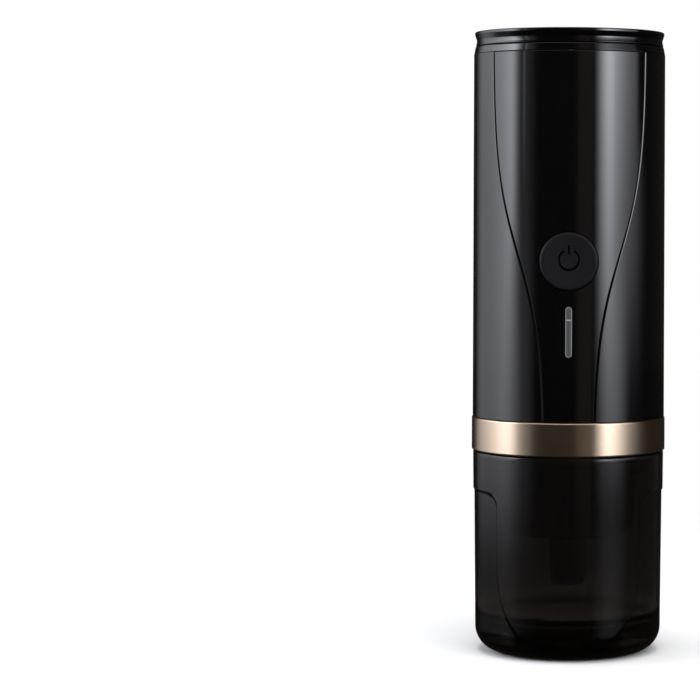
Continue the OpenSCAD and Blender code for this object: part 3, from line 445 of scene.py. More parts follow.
def close_skin(mesh):
    """Merges equal points, drops faces that have shrunk to nothing and turns all faces outwards."""
    skin = bmesh.new()
    skin.from_mesh(mesh)
    bmesh.ops.remove_doubles(skin, verts=skin.verts, dist=MERGE)
    bmesh.ops.dissolve_degenerate(skin, edges=skin.edges, dist=MERGE)
    bmesh.ops.recalc_face_normals(skin, faces=skin.faces)
    open_edges = sum(not edge.is_manifold for edge in skin.edges)
    skin.to_mesh(mesh)
    skin.free()
    mesh.shade_smooth()
    mesh.set_sharp_from_angle(angle=SHARP)
    return open_edges


def add_piece(mesh, body, node, finish):
    """Puts a closed mesh into the scene in place of a CAD node, on that node's body if it has one."""
    open_edges = close_skin(mesh)
    piece = put(mesh.name, mesh)
    mesh.materials.append(finish)
    if body:
        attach(piece, body)
    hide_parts(node)
    print(mesh.name, "faces", len(mesh.polygons), "open edges", open_edges)
    return piece


# %% [markdown]
# Turned parts need a profile with its corners rounded. At a corner, both sides are cut back and an
# arc joins them. A guard point just outside the arc keeps the flat side next to it looking flat.

# %% Rounded profiles
ARC_STEPS = 5
GUARD = 0.05


def rounded(corners):
    """A closed line through corners (x, y, radius) with an arc of that radius at each corner."""
    points = np.array(corners, float)
    line = []
    for before, here, after in zip(np.roll(points, 1, 0), points, np.roll(points, -1, 0)):
        corner, radius = here[:2], here[2]
        if radius == 0:
            line.append(corner[None])
            continue
        back, on = before[:2] - corner, after[:2] - corner
        back, on = back / np.linalg.norm(back), on / np.linalg.norm(on)
        half = math.acos(np.clip(back @ on, -1, 1)) / 2
        cut = radius / math.tan(half)
        centre = corner + (back + on) / np.linalg.norm(back + on) * radius / math.sin(half)
        start, end = corner + back * cut - centre, corner + on * cut - centre
        span = math.pi - 2 * half
        share = np.linspace(0, 1, ARC_STEPS + 1)[:, None]
        arc = (np.sin((1 - share) * span) * start + np.sin(share * span) * end) / math.sin(span)
        line += [corner[None] + back * (cut + GUARD), centre + arc, corner[None] + on * (cut + GUARD)]
    return np.concatenate(line)


def turned(profile, angles):
    """Turns (radius, z) about the axis: x = radius sin a, y = -radius cos a, so that angle 0 is the front."""
    radius, z = profile.T
    x, y = np.outer(radius, np.sin(angles)), -np.outer(radius, np.cos(angles))
    return np.stack([x, y, np.outer(z, np.ones_like(angles))], -1)


def full_circle(count):
    return np.linspace(-math.pi, math.pi, count, endpoint=False)


# %% [markdown]
# ## Trim ring
# The ring is a plain band with rolled edges, and the brew head hides its inner face. A cylinder with a
# bevel would do, but a turned profile holds the radius of the edges, and it makes the lid and collar too.

# %% Trim ring


def levels(node):
    """Lowest and highest z of a CAD node, and its largest radius, in mm."""
    low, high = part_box(node)
    return low.z / MM, high.z / MM, high.x / MM


ring_foot, ring_head, ring_r = levels("trim_ring")
RING_WALL = 2.95
RING_EDGE = 0.55
ROUND_COLUMNS = 256
ring_line = rounded([
    (ring_r - RING_WALL, ring_foot, 0), (ring_r, ring_foot, RING_EDGE),
    (ring_r, ring_head, RING_EDGE), (ring_r - RING_WALL, ring_head, 0),
])
trim_mesh = grid_mesh("trim_band", turned(ring_line, full_circle(ROUND_COLUMNS)))
add_piece(trim_mesh, "housing", "trim_ring", champagne)

# %% [markdown]
# ## Lid and collar
# The lid is a shallow cap with a finger groove: a cone under its lip meets a cove at the narrowest
# place. The collar below it carries the taper on down to the full width of the shell. Both are
# turned shapes, and the fine light line between them comes from their rolled edges.

# %% Lid
lid_foot, lid_head, lip_r = levels("lid_cap")
NECK_RISE, NECK_DEPTH, LIP_FACE = 2.3, 0.68, 1.05
FOOT_COVE = 5.9
LIP_ROUND, LID_EDGE, FOOT_CLEAR = 0.45, 0.35, 0.6
DISH_RIM, DISH_DEPTH, VENT_R = 2.6, 1.6, 1.6


def cove(radius, heights):
    """Radius of the groove at heights from its narrowest place: neck + cove - sqrt(cove^2 - h^2)."""
    return lip_r - NECK_DEPTH + radius - np.sqrt(radius**2 - heights**2)


neck_z = lid_foot + NECK_RISE
lower = np.linspace(-NECK_RISE, -0.12, 14)
above_edge = lower[lower > FOOT_CLEAR - NECK_RISE]
cove_line = [(r, neck_z + h, 0) for r, h in zip(cove(FOOT_COVE, above_edge), above_edge)]
cove_line += [(lip_r - NECK_DEPTH, neck_z, 0.3)]
lid_line = rounded(
    [(VENT_R, lid_foot, 0), (cove(FOOT_COVE, lower[0]), lid_foot, LID_EDGE)]
    + cove_line
    + [
        (lip_r, lid_head - LIP_FACE, 0.2), (lip_r, lid_head, LIP_ROUND), (lip_r - DISH_RIM, lid_head, 0.5),
        (lip_r - DISH_RIM, lid_head - DISH_DEPTH, 0.7), (VENT_R, lid_head - DISH_DEPTH, 0.15),
    ]
)
lid_mesh = grid_mesh("lid_top", turned(lid_line, full_circle(ROUND_COLUMNS)))
add_piece(lid_mesh, "lid", "lid_cap", gloss_black)

# %% [markdown]
# The collar is a ring with a skirt that goes down into the shell, and with a seat for the tank's gasket
# inside it. It could be lathed in several parts, but one closed profile gives them all in one turn.

# %% Collar
collar_low, collar_head, collar_r = levels("top_collar")
shell_foot, shell_head, body_r = levels("rear_shell")
SHELL_WALL, COLLAR_SKIRT = 3.0, 8.0
SKIRT_FIT, SKIRT_IN, MOUTH_IN, SEAT_IN = 0.2, 2.2, 1.9, 4.2
SEAT_RISE, SEAT_DROP = 0.1, 1.6
shell_in = body_r - SHELL_WALL
collar_foot = collar_low + COLLAR_SKIRT
collar_top_r = cove(FOOT_COVE, lower[0])
skirt_out, skirt_in = shell_in - SKIRT_FIT, shell_in - SKIRT_IN
mouth_r, seat_r = shell_in - MOUTH_IN, shell_in - SEAT_IN
seat_top, seat_low = collar_foot + SEAT_RISE, collar_foot - SEAT_DROP
collar_line = rounded([
    (skirt_in, collar_low, 0), (skirt_out, collar_low, 0.2), (skirt_out, collar_foot, 0),
    (collar_r, collar_foot, 0.22), (collar_top_r, collar_head, 0.3), (mouth_r, collar_head, 0.25),
    (mouth_r, seat_top, 0), (seat_r, seat_top, 0.2), (seat_r, seat_low, 0), (skirt_in, seat_low, 0),
])
collar_mesh = grid_mesh("collar_band", turned(collar_line, full_circle(ROUND_COLUMNS)))
add_piece(collar_mesh, "housing", "top_collar", gloss_black)

# %% [markdown]
# ## Shell and front panel
# The front panel is let into the shell along an S-shaped edge: wide above, narrow below. Both have
# rolled edges, so a bright line runs along the seam where it turns towards the light. At each height
# the skin is a curve in the plane: an outer radius and an inner radius as functions of the angle. The
# half width of the panel is middle + swing tanh((height - middle height) / run).

# %% Panel edge
PANEL_MID, PANEL_SWING, PANEL_MID_RISE, PANEL_RUN = 18.0, 9.4, 60.0, 31.5
PANEL_GAP, PANEL_T, PANEL_FIT, LEDGE_W = 0.35, 2.0, 0.05, 2.2
SHELL_ROLL, PANEL_ROLL, END_ROLL = 1.1, 0.12, 0.18
SHELL_TURN, PANEL_TURN = math.radians(38), math.radians(90)
BRIDGE, WINDOW_END = 4.0, 14.0


def panel_half(z):
    """Half the width of the front panel at a height."""
    return PANEL_MID + PANEL_SWING * np.tanh((z - shell_foot - PANEL_MID_RISE) / PANEL_RUN)


def end_rows(low, high, count):
    """Heights from low to high, with extra rows in the rolled ends."""
    roll = END_ROLL * (1 - np.cos(np.linspace(0, math.pi / 2, 5)))
    return np.concatenate([low + roll, np.linspace(low, high, count)[1:-1], (high - roll)[::-1]])


def end_drop(z, low, high):
    """How far the rolled ends draw the outside in: a quarter circle of END_ROLL."""
    inside = np.clip(np.minimum(z - low, high - z), 0, END_ROLL)
    return END_ROLL - np.sqrt(END_ROLL**2 - (END_ROLL - inside) ** 2)


def ribbon(outer, inner, angle, z):
    """Grid of a bent wall: out along the outer radii, back along the inner ones, closed at both ends."""
    radius = np.concatenate([outer, inner[:, ::-1]], 1)
    turn = np.concatenate([angle, angle[:, ::-1]], 1)
    middle = np.concatenate([(outer + inner) / 2, ((outer + inner) / 2)[:, ::-1]], 1)
    radius = np.concatenate([middle[:1], radius, middle[-1:]])
    turn = np.concatenate([turn[:1], turn, turn[-1:]])
    height = np.concatenate([z[:1], z, z[-1:]])[:, None] * np.ones_like(radius)
    return np.stack([radius * np.sin(turn), -radius * np.cos(turn), height], -1)


# %% [markdown]
# Real mouldings have rolled edges. A bevel could do it, but a few extra columns of the grid keep the
# S-shaped line exact: a wall rises to an arc, and the arc runs on into the full radius.

# %% Rolled edge
ROLL_STEPS = 7


def edge_chain(edge, far, count, wall_r, roll, turn):
    """Outer radii and angles from a wall at `edge`, over its rolled edge, to the angle `far`.

    The wall rises from wall_r; the roll is an arc that turns by `turn`; then the full radius runs on,
    with a guard row next to the roll.
    """
    sign = np.sign(far - edge)
    rows = len(edge)
    lean = np.linspace(math.pi / 2 - turn, math.pi / 2, ROLL_STEPS)
    roll_angle = edge[:, None] + sign[:, None] * roll * (np.cos(lean[0]) - np.cos(lean)) / body_r
    start = edge + sign * (roll * np.cos(lean[0]) + 2 * GUARD) / body_r
    run = start[:, None] + (far - start)[:, None] * np.linspace(0, 1, count)
    angle = np.concatenate([edge[:, None], roll_angle, run], 1)
    roll_r = np.tile(body_r - roll * (1 - np.sin(lean)), (rows, 1))
    radius = np.concatenate([np.full((rows, 1), wall_r), roll_r, np.full((rows, count), body_r)], 1)
    return radius, angle


def both_sides(radius, angle):
    """Joins a chain that ends on a middle line to its mirror image in that line."""
    middle = angle[:, -1:]
    return (
        np.concatenate([radius, radius[:, -2::-1]], 1),
        np.concatenate([angle, 2 * middle - angle[:, -2::-1]], 1),
    )


# %% [markdown]
# The panel is a bent plate that lies in the shell. One side is worked out, from its edge to the middle
# line, and mirrored. It rests a hair's breadth above the ledge that carries it. A bent plane with a Solidify
# modifier could make it too, but with square edges.

# %% Front panel
SKIN_ROWS, PANEL_COLUMNS, SHELL_COLUMNS = 170, 60, 120
panel_foot, panel_head, _ = levels("front_panel")
panel_in = body_r - PANEL_T + PANEL_FIT
panel_z = end_rows(panel_foot, panel_head, SKIN_ROWS)
panel_edge = -np.arcsin(panel_half(panel_z) / body_r)
front = np.zeros_like(panel_z)
panel_chain = edge_chain(panel_edge, front, PANEL_COLUMNS, panel_in, PANEL_ROLL, PANEL_TURN)
panel_r, panel_angle = both_sides(*panel_chain)
panel_r = np.maximum(panel_r - end_drop(panel_z, panel_foot, panel_head)[:, None], panel_in)
panel_grid = ribbon(panel_r, np.full_like(panel_r, panel_in), panel_angle, panel_z)
panel_mesh = grid_mesh("panel_moulding", panel_grid, wrap_rows=False)
print("half width of the panel", np.round(panel_half(np.array([panel_foot, panel_head])), 2))

# %% [markdown]
# The shell goes round the back, with a ledge that carries the panel's edge. Behind the panel it has a
# window, which narrows to a bridge at each end. Both sides meet in the bridges, so the faces of their ends
# are left out there, and the merged skin is closed without them.

# %% Rear shell
shell_z = end_rows(shell_foot, shell_head, SKIN_ROWS)
shell_edge = np.arcsin((panel_half(shell_z) + PANEL_GAP) / body_r)
from_end = np.minimum(shell_z - shell_foot, shell_head - shell_z)
opened = np.clip((from_end - BRIDGE) / WINDOW_END, 0, 1)
window = (panel_half(shell_z) - LEDGE_W) * (1 - np.cos(math.pi * opened)) / 2
ledge_r, ledge_angle = body_r - PANEL_T, np.arcsin(window / body_r)[:, None]
rear = np.full_like(shell_z, math.pi)
skin_r, skin_angle = edge_chain(shell_edge, rear, SHELL_COLUMNS, ledge_r, SHELL_ROLL, SHELL_TURN)
drop = end_drop(shell_z, shell_foot, shell_head)[:, None]
skin_r = np.maximum(skin_r - drop, ledge_r)
skin_r = np.concatenate([np.full_like(ledge_angle, shell_in), np.full_like(ledge_angle, ledge_r), skin_r], 1)
skin_angle = np.concatenate([ledge_angle, ledge_angle, skin_angle], 1)
skin_r, skin_angle = both_sides(skin_r, skin_angle)
shell_grid = ribbon(skin_r, np.full_like(skin_r, shell_in), skin_angle, shell_z)
bridged = np.pad(opened, 1, "edge") == 0
inner_wall = np.zeros((len(shell_grid) - 1, shell_grid.shape[1]), bool)
inner_wall[:, [0, skin_r.shape[1] - 2]] = (bridged[:-1] & bridged[1:])[:, None]
shell_mesh = grid_mesh("shell_moulding", shell_grid, wrap_rows=False, skip=inner_wall)
print("quads left out in the bridges", int(inner_wall.sum()))

# %% [markdown]
# The panel has a round hole for the button and a slot for the light bar, and the shell has an opening
# for the charging cover at the back. A Boolean cuts them with plain prisms. The cut leaves many-sided
# faces next to the holes, so the outside then gets its exact normals: straight out from the axis.

# %% Holes
OUTLINE_POINTS = 96
ON_ROUND, OUTWARD = 20 * MERGE, 0.97


def prism(name, outline, near, far):
    """A closed prism: an outline in X and Z, pushed along Y from near to far, its ends drawn to a point."""
    middle = np.tile(outline.mean(0), (len(outline), 1))
    rows = np.stack([middle, outline, outline, middle])
    depth = np.broadcast_to(np.array([near, near, far, far])[:, None], rows.shape[:2])
    return grid_mesh(name, np.stack([rows[..., 0], depth, rows[..., 1]], -1), wrap_rows=False)


def rounded_outline(width, height, radius, centre):
    """A closed rectangle outline with round corners; a radius of half the width gives a slot or a circle."""
    turn = np.linspace(0, 2 * math.pi, OUTLINE_POINTS, endpoint=False) + math.pi / OUTLINE_POINTS
    across, up = np.cos(turn), np.sin(turn)
    x = np.sign(across) * (width / 2 - radius) + radius * across
    z = np.sign(up) * (height / 2 - radius) + radius * up
    return np.stack([x + centre[0], z + centre[1]], -1)


def cut(piece, outlines, near, far):
    """Cuts prisms of these outlines out of a piece and keeps the result as its mesh."""
    tools = []
    for number, outline in enumerate(outlines):
        mesh = prism(f"cutter_{number}", outline, near, far)
        close_skin(mesh)
        tools.append(put(mesh.name, mesh))
        modifier = piece.modifiers.new(mesh.name, "BOOLEAN")
        modifier.object, modifier.operation, modifier.solver = tools[-1], "DIFFERENCE", "EXACT"
    view = bpy.context.evaluated_depsgraph_get()
    whole = piece.data
    piece.data = bpy.data.meshes.new_from_object(piece.evaluated_get(view))
    piece.data.name = whole.name
    piece.modifiers.clear()
    bpy.data.meshes.remove(whole)
    for tool in tools:
        bpy.data.meshes.remove(tool.data)
    piece.data.set_sharp_from_angle(angle=SHARP)


def read(items, field, width, kind=float):
    """One field of every item of a mesh, as an array with a row for each item."""
    values = np.zeros(len(items) * width, kind)
    items.foreach_get(field, values)
    return values.reshape(-1, width)


def true_round(mesh, radius):
    """Sets the normals of every corner that lies on the outer cylinder straight out from the axis."""
    vertex = read(mesh.loops, "vertex_index", 1, np.int32)[:, 0]
    normal = read(mesh.corner_normals, "vector", 3)
    out = read(mesh.vertices, "co", 3)[vertex] * (1, 1, 0)
    distance = np.linalg.norm(out, axis=1)
    out /= np.maximum(distance, MERGE)[:, None]
    outside = (np.abs(distance - radius) < ON_ROUND) & ((out * normal).sum(1) > OUTWARD)
    mesh.normals_split_custom_set(np.where(outside[:, None], out, normal).tolist())
    return int(outside.sum())


# %% [markdown]
# Both mouldings now go into the scene and get their holes. Each hole is the size of what sits in it, with
# the gap that lets the button move and the cover swing.

# %% Panel and shell
CUT_PAST = 5
button_low, button_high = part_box("power_button")
light_low, light_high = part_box("light_bar")
button_z = (button_low.z + button_high.z) / 2 / MM
light_z = (light_low.z + light_high.z) / 2 / MM
BUTTON_R, BUTTON_GAP = 10.5, 0.3
LIGHT_W, LIGHT_L, LIGHT_GAP = 2.4, 18.2, 0.1
panel = add_piece(panel_mesh, "housing", "front_panel", gloss_black)
hole_r, slot_w = BUTTON_R + BUTTON_GAP, LIGHT_W + LIGHT_GAP
cut(
    panel,
    [
        rounded_outline(2 * hole_r, 2 * hole_r, hole_r, (0, button_z)),
        rounded_outline(slot_w, LIGHT_L + LIGHT_GAP, slot_w / 2, (0, light_z)),
    ],
    -body_r - CUT_PAST, -body_r / 2,
)
print("panel corners on the round", true_round(panel.data, body_r * MM))
shell = add_piece(shell_mesh, "housing", "rear_shell", gloss_black)
cover_low, cover_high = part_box("port_cover")
COVER_H, COVER_LEFT, COVER_RIGHT, COVER_CORNER = 7.6, -8.7, 9.8, 0.7
port_z = (cover_low.z + cover_high.z) / 2 / MM
cover_middle = ((COVER_LEFT + COVER_RIGHT) / 2, port_z)
opening = rounded_outline(COVER_RIGHT - COVER_LEFT, COVER_H, COVER_CORNER, cover_middle)
cut(shell, [opening], body_r / 2, body_r + CUT_PAST)
print("shell corners on the round", true_round(shell.data, body_r * MM))

# %% [markdown]
# ## Power button
# The button is a disc, dished for the finger, with a softly rolled edge and the usual power sign sunk into
# it: a ring with a gap at the top and a bar in the gap. The face is a polar grid. The dish is a parabola,
# and the sign's depth is a soft step of the distance inside it, so both are real shape.

# %% Button
SIGN_R, SIGN_W, SIGN_GAP, SIGN_BAR, SIGN_DEPTH = 4.0, 0.8, 1.7, 3.4, 0.25
SIGN_RISE, BAR_RISE = 0.5, 3.6
BUTTON_EDGE, BUTTON_DISH = 0.9, 0.4
SIGN_SLOPE, SIGN_SHADE_WIDER = 0.1, 0.8
FLANGE_Y, FLANGE_T, FLANGE_OUT, STEM_R = -31.6, 0.9, 1.1, 3
BUTTON_COLUMNS = 300


def inside_sign(x, z):
    """Distance inside the sunk sign: ring minus gap, or the bar with its round ends."""
    z = z - SIGN_RISE
    ring = SIGN_W / 2 - np.abs(np.hypot(x, z) - (SIGN_R - SIGN_W / 2))
    ring = np.where(z > 0, np.minimum(ring, np.abs(x) - SIGN_GAP), ring)
    reach = SIGN_BAR / 2 - SIGN_W / 2
    along = np.clip(z - BAR_RISE, -reach, reach)
    bar = SIGN_W / 2 - np.hypot(x, z - BAR_RISE - along)
    return np.maximum(ring, bar)


def soft_step(value):
    """0 below 0, 1 above 1, and 3 v^2 - 2 v^3 between."""
    value = np.clip(value, 0, 1)
    return value * value * (3 - 2 * value)


def carry(mesh, name, values):
    """Gives each point of a mesh a value that its finish can read by this name."""
    mesh.attributes.new(name, "FLOAT", "POINT").data.foreach_set("value", values.ravel().astype(np.float32))


face_y, button_back = button_low.y / MM, button_high.y / MM
edge_turn = np.linspace(0, math.pi / 2, 8)
sign_rows, outer_rows = np.arange(1.6, 6.1, 0.06), np.linspace(6.3, BUTTON_R - BUTTON_EDGE - 0.1, 8)
face_r = np.concatenate([[0, 0.7, 1.4], sign_rows, outer_rows])
edge_r = BUTTON_R - BUTTON_EDGE * (1 - np.sin(edge_turn))
flange_r, flange_back = BUTTON_R + FLANGE_OUT, FLANGE_Y + FLANGE_T
line_r = np.concatenate([face_r, edge_r, [BUTTON_R, BUTTON_R, flange_r, flange_r, STEM_R, STEM_R, 0]])
line_y = np.concatenate([
    face_y + BUTTON_DISH * (1 - (face_r / face_r[-1]) ** 2), face_y + BUTTON_EDGE * (1 - np.cos(edge_turn)),
    [face_y + BUTTON_EDGE + 0.1, FLANGE_Y, FLANGE_Y, flange_back, flange_back, button_back, button_back],
])
round_turn = full_circle(BUTTON_COLUMNS)
button_x, button_up = np.outer(line_r, np.sin(round_turn)), np.outer(line_r, np.cos(round_turn))
on_face = (np.arange(len(line_r)) < len(face_r))[:, None]
sign = inside_sign(button_x, button_up)
sunk = np.where(on_face, soft_step(sign / SIGN_SLOPE), 0)
# The painted shade of the sign reaches a little past the recess, so the dark sign reads wider.
sign_shade_paint = np.where(on_face, soft_step(sign / SIGN_SLOPE + SIGN_SHADE_WIDER), 0)
button_grid = np.stack([button_x, line_y[:, None] + SIGN_DEPTH * sunk, button_up + button_z], -1)
button_mesh = grid_mesh("button_cap", button_grid, wrap_rows=False)
carry(button_mesh, "sunk", sign_shade_paint)
add_piece(button_mesh, "button", "power_button", button_skin)

# %% [markdown]
# ## Light bar
# The light bar is a milky lens in a slot, split by a thin line into a short and a long field. The grid
# runs round the slot's outline and in towards its middle line. A flat bar would be simpler, but the outside
# has to follow the body's curve to catch the light as the body does.

# %% Light bar
LENS_R, LENS_EDGE, LENS_FLANGE, LENS_SEAT, LENS_BACK = 35.42, 0.3, 1.0, 1.2, -29.0
CAP_STEPS, RIM_HIGHLIGHT_W = 17, 0.28
SPLIT_RISE, SPLIT_HALF, SPLIT_DEPTH = 4.35, 0.16, 0.12
lens_half, lens_reach = LIGHT_W / 2, (LIGHT_L - LIGHT_W) / 2
near_split = SPLIT_RISE + SPLIT_HALF * np.linspace(-2, 2, 13)
sides = np.sort(np.concatenate([np.linspace(-lens_reach, lens_reach, 25)[1:-1], near_split]))
cap_turn, flat = np.linspace(-math.pi / 2, math.pi / 2, CAP_STEPS), np.ones(len(sides))
outline_x = np.concatenate([np.sin(cap_turn), flat, np.sin(cap_turn[::-1]), -flat])
outline_z = np.concatenate([np.cos(cap_turn), 0 * flat, -np.cos(cap_turn), 0 * flat])
cap_z = np.full(CAP_STEPS, lens_reach)
spine_z = np.concatenate([cap_z, sides[::-1], -cap_z, sides])
lens_roll = LENS_EDGE * (1 - np.sin(edge_turn))
inset = np.concatenate([[lens_half, 0.8, 0.5, 0.36], lens_roll, [0, 0, -LENS_FLANGE, -LENS_FLANGE]])
edge_inset = np.clip(LENS_EDGE - inset, 0, LENS_EDGE)
sink = LENS_EDGE - np.sqrt(np.maximum(LENS_EDGE**2 - edge_inset**2, 0))
lens_x = np.outer(lens_half - inset, outline_x)
lens_up = np.outer(lens_half - inset, outline_z) + spine_z
split = np.exp(-(((lens_up - SPLIT_RISE) / SPLIT_HALF) ** 2))
lens_y = -np.sqrt(LENS_R**2 - lens_x**2) + sink[:, None] + SPLIT_DEPTH * split
lens_y[-3:] = np.array([LENS_SEAT - panel_in, LENS_SEAT - panel_in, LENS_BACK])[:, None]
lens_grid = np.stack([lens_x, lens_y, lens_up + light_z], -1)
closing = lens_grid[-1:].copy()
closing[..., 0] = 0
closing[..., 2] = spine_z + light_z
lens_grid = np.concatenate([lens_grid, closing])
# Painted highlight: the lens is paler near its edge and along the split line.
near_rim_highlight = np.exp(-((np.maximum(inset, 0) / RIM_HIGHLIGHT_W) ** 2))
rim = np.maximum(near_rim_highlight[:, None], split)
rim = np.concatenate([rim, rim[-1:] * 0])
lens_mesh = grid_mesh("light_lens", lens_grid, wrap_rows=False)
carry(lens_mesh, "rim", rim)
add_piece(lens_mesh, "housing", "light_bar", diffuser)

# %% [markdown]
# ## Cup
# The cup tapers slightly to a well rounded foot and has a shallow grip recess at each side. It is a
# turned wall whose outer radius drops by the recess depth inside a rounded rectangle in Y and Z. The
# drop is a soft step, because the real edge is rolled, and a Boolean would leave it sharp.

# %% Cup
_, cup_head, cup_r = levels("cup")
CUP_DRAFT, CUP_WALL, CUP_FLOOR, CUP_ROUND, INNER_ROUND = 0.7, 2.2, 13.0, 9.0, 3.0
FOOT_HOLLOW, FOOT_WIDTH, HOLLOW_TAPER = 8.5, 3.5, 1.2
GRIP_DEPTH, GRIP_FOOT, GRIP_HEAD, GRIP_HALF, GRIP_CORNER, GRIP_SLOPE = 0.4, -20.0, 59.6, 23.5, 4.5, 0.55
FLARE_R, FLARE_HEAD, CUP_RIM = 45.0, 32.0, 0.8
GRIP_FROM, GRIP_TO = math.radians(22), math.radians(52)
hollow_r = cup_r - CUP_ROUND - FOOT_WIDTH


def wall_line(inset, floor, bend, count):
    """Half section of a cone wall that is inset from the outside, from its rounded foot up to the rim."""
    foot = cup_r - CUP_DRAFT - inset
    turn = np.linspace(0, math.pi / 2, 14)
    top = np.linspace(GRIP_HEAD - 6, GRIP_HEAD + 1, count // 3)
    z = np.linspace(floor + bend + 1, cup_head - CUP_RIM, count)
    z = np.sort(np.concatenate([z, top])) if inset == 0 else z
    lean = CUP_DRAFT * z / cup_head
    return np.concatenate([
        np.stack([foot - bend + bend * np.sin(turn), floor + bend - bend * np.cos(turn)], -1)
        + np.stack([CUP_DRAFT * (floor + bend) / cup_head * turn / turn[-1], 0 * turn], -1),
        np.stack([foot + lean, z], -1),
    ])


outside = wall_line(0, 0, CUP_ROUND, 75)
inside = wall_line(CUP_WALL, CUP_FLOOR, INNER_ROUND, 44)
rim_turn = np.linspace(0, math.pi, 9)
rim_middle, rim_half = (outside[-1] + inside[-1]) / 2, (outside[-1, 0] - inside[-1, 0]) / 2
rim_line = rim_middle + np.stack([rim_half * np.cos(rim_turn), CUP_RIM * np.sin(rim_turn)], -1)
hollow_head_r = hollow_r - HOLLOW_TAPER
under = np.array([
    (0, FOOT_HOLLOW), (hollow_head_r - 0.7, FOOT_HOLLOW), (hollow_head_r - 0.2, FOOT_HOLLOW - 0.2),
    (hollow_head_r, FOOT_HOLLOW - 0.7), (hollow_r, 0.3), (hollow_r + 0.3, 0),
])
cup_line = np.concatenate([under, outside, rim_line[1:-1], inside[::-1], [(0, CUP_FLOOR)]])
quarter = np.concatenate([
    np.linspace(0, GRIP_FROM, 12)[:-1], np.linspace(GRIP_FROM, GRIP_TO, 70)[:-1],
    np.linspace(GRIP_TO, math.pi / 2, 20)[:-1],
])
half_turn = np.concatenate([quarter, [math.pi / 2], math.pi - quarter[:0:-1]])
cup_turn = np.concatenate([half_turn, half_turn + math.pi])
cup_grid = turned(cup_line, cup_turn)
flare = FLARE_R - np.sqrt(FLARE_R**2 - np.clip(FLARE_HEAD - cup_grid[..., 2], 0, None) ** 2)
beside = np.abs(cup_grid[..., 1]) - (GRIP_HALF + flare - GRIP_CORNER)
height = np.abs(cup_grid[..., 2] - (GRIP_FOOT + GRIP_HEAD) / 2) - ((GRIP_HEAD - GRIP_FOOT) / 2 - GRIP_CORNER)
past_corner = np.hypot(np.maximum(beside, 0), np.maximum(height, 0))
outside_grip = past_corner + np.minimum(np.maximum(beside, height), 0) - GRIP_CORNER
pressed = GRIP_DEPTH * soft_step(0.5 - outside_grip / GRIP_SLOPE)
cup_row = np.arange(len(cup_line))
on_wall = (cup_row >= len(under)) & (cup_row < len(under) + len(outside))
pressed = np.where(on_wall[:, None], pressed, 0)
cup_grid[..., :2] *= (1 - pressed / np.maximum(np.hypot(cup_grid[..., 0], cup_grid[..., 1]), 1))[..., None]
add_piece(grid_mesh("smoky_cup", cup_grid, wrap_rows=False), "cup", "cup", smoke)

# %% [markdown]
# ## Return spring
# The plunger's spring is a round wire wound along a helix: a circle carried up and round the axis. In the
# maker it is the one piece that changes its length; here it is drawn at rest, with its foot in the pump body,
# its head under the plunger, and its turns spread evenly between.

# %% Spring
SPRING_WIRE, SPRING_TURNS, WIRE_SIDES, STEPS_A_TURN = 0.9, 6, 14, 48
spring_low, spring_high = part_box("pump_spring")
wire_r = SPRING_WIRE / 2
coil_r = spring_high.x / MM - wire_r
wound = np.linspace(0, 2 * math.pi * SPRING_TURNS, SPRING_TURNS * STEPS_A_TURN + 1)
wire_z = np.interp(wound, wound[[0, -1]], [spring_low.z / MM + wire_r, spring_high.z / MM - wire_r])
wound, wire_z = np.pad(wound, 1, "edge"), np.pad(wire_z, 1, "edge")
thick = np.concatenate([[0], np.full(len(wound) - 2, wire_r), [0]])
spring_r = coil_r + np.outer(thick, np.cos(full_circle(WIRE_SIDES)))
spring_grid = np.stack([
    spring_r * np.cos(wound)[:, None], spring_r * np.sin(wound)[:, None],
    wire_z[:, None] + np.outer(thick, np.sin(full_circle(WIRE_SIDES))),
], -1)
spring_mesh = grid_mesh("spring_coil", spring_grid, wrap_rows=False)
spring = add_piece(spring_mesh, None, "pump_spring", steel)
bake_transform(spring)

# %% [markdown]
# ## Finishes for the other solids
# Everything else keeps its solid from the frame and only gets its finish. Most of it is inside and
# shows when the lid, the cup or the portafilter comes away.

# %% Dress the solids
dress = {
    black_moulding: ["lid_plug", "tact_switch", "brew_head", "portafilter", "spout"],
    grey_moulding: ["switch_stem", "upper_deck", "lower_deck"],
    pale_moulding: ["insulator_ring", "pump_body"],
    dark_rubber: ["vent_valve", "pump_mounts", "port_cover", "cup_seal"],
    red_silicone: ["brew_gasket"],
    clear_silicone: ["lid_seal", "tank_gasket", "inlet_hose", "outlet_hose"],
    steel: ["water_tank", "temperature_probe", "pump_plunger", "cover_pin", "shower_screen", "filter_basket"],
    zinc: ["board_screws", "heater_element", "post_screws", "cell_links", "pump_can", "usb_port"]
    + ["housing_screws", "screen_screws"],
    aluminium: ["heater_plate", "deck_posts"],
    copper_winding: ["pump_coil"],
    cell_wrap: ["battery_cells"],
    board: ["circuit_board", "charge_board"],
    lamp: ["indicator_leds"],
}
for finish, names in dress.items():
    for name in names:
        nodes[name].data.materials.clear()
        nodes[name].data.materials.append(finish)
shown = {name for names in dress.values() for name in names}
bare = sorted(name for name in nodes if name not in shown and not nodes[name].hide_render)
print("dressed", len(shown), "left out", bare)

# %% [markdown]
# ## Floor and light
# The photo has a white ground, a tall soft light at each side and dark surroundings, which give the
# black body its two bright bands. The lights are bent cards whose glow changes with the azimuth and
# with the height. Reflections look past the floor, and the cards go on below it, because the low parts
# of the cup would otherwise mirror nothing but floor.

# %% Stage cards
CARD_ROWS, CARD_COLUMNS = 70, 301


def on_stage(name, mesh):
    """Adds a stage piece that the camera doesn't see and that throws no shadow."""
    card = put(name, mesh)
    card.visible_camera = card.visible_shadow = False
    return card


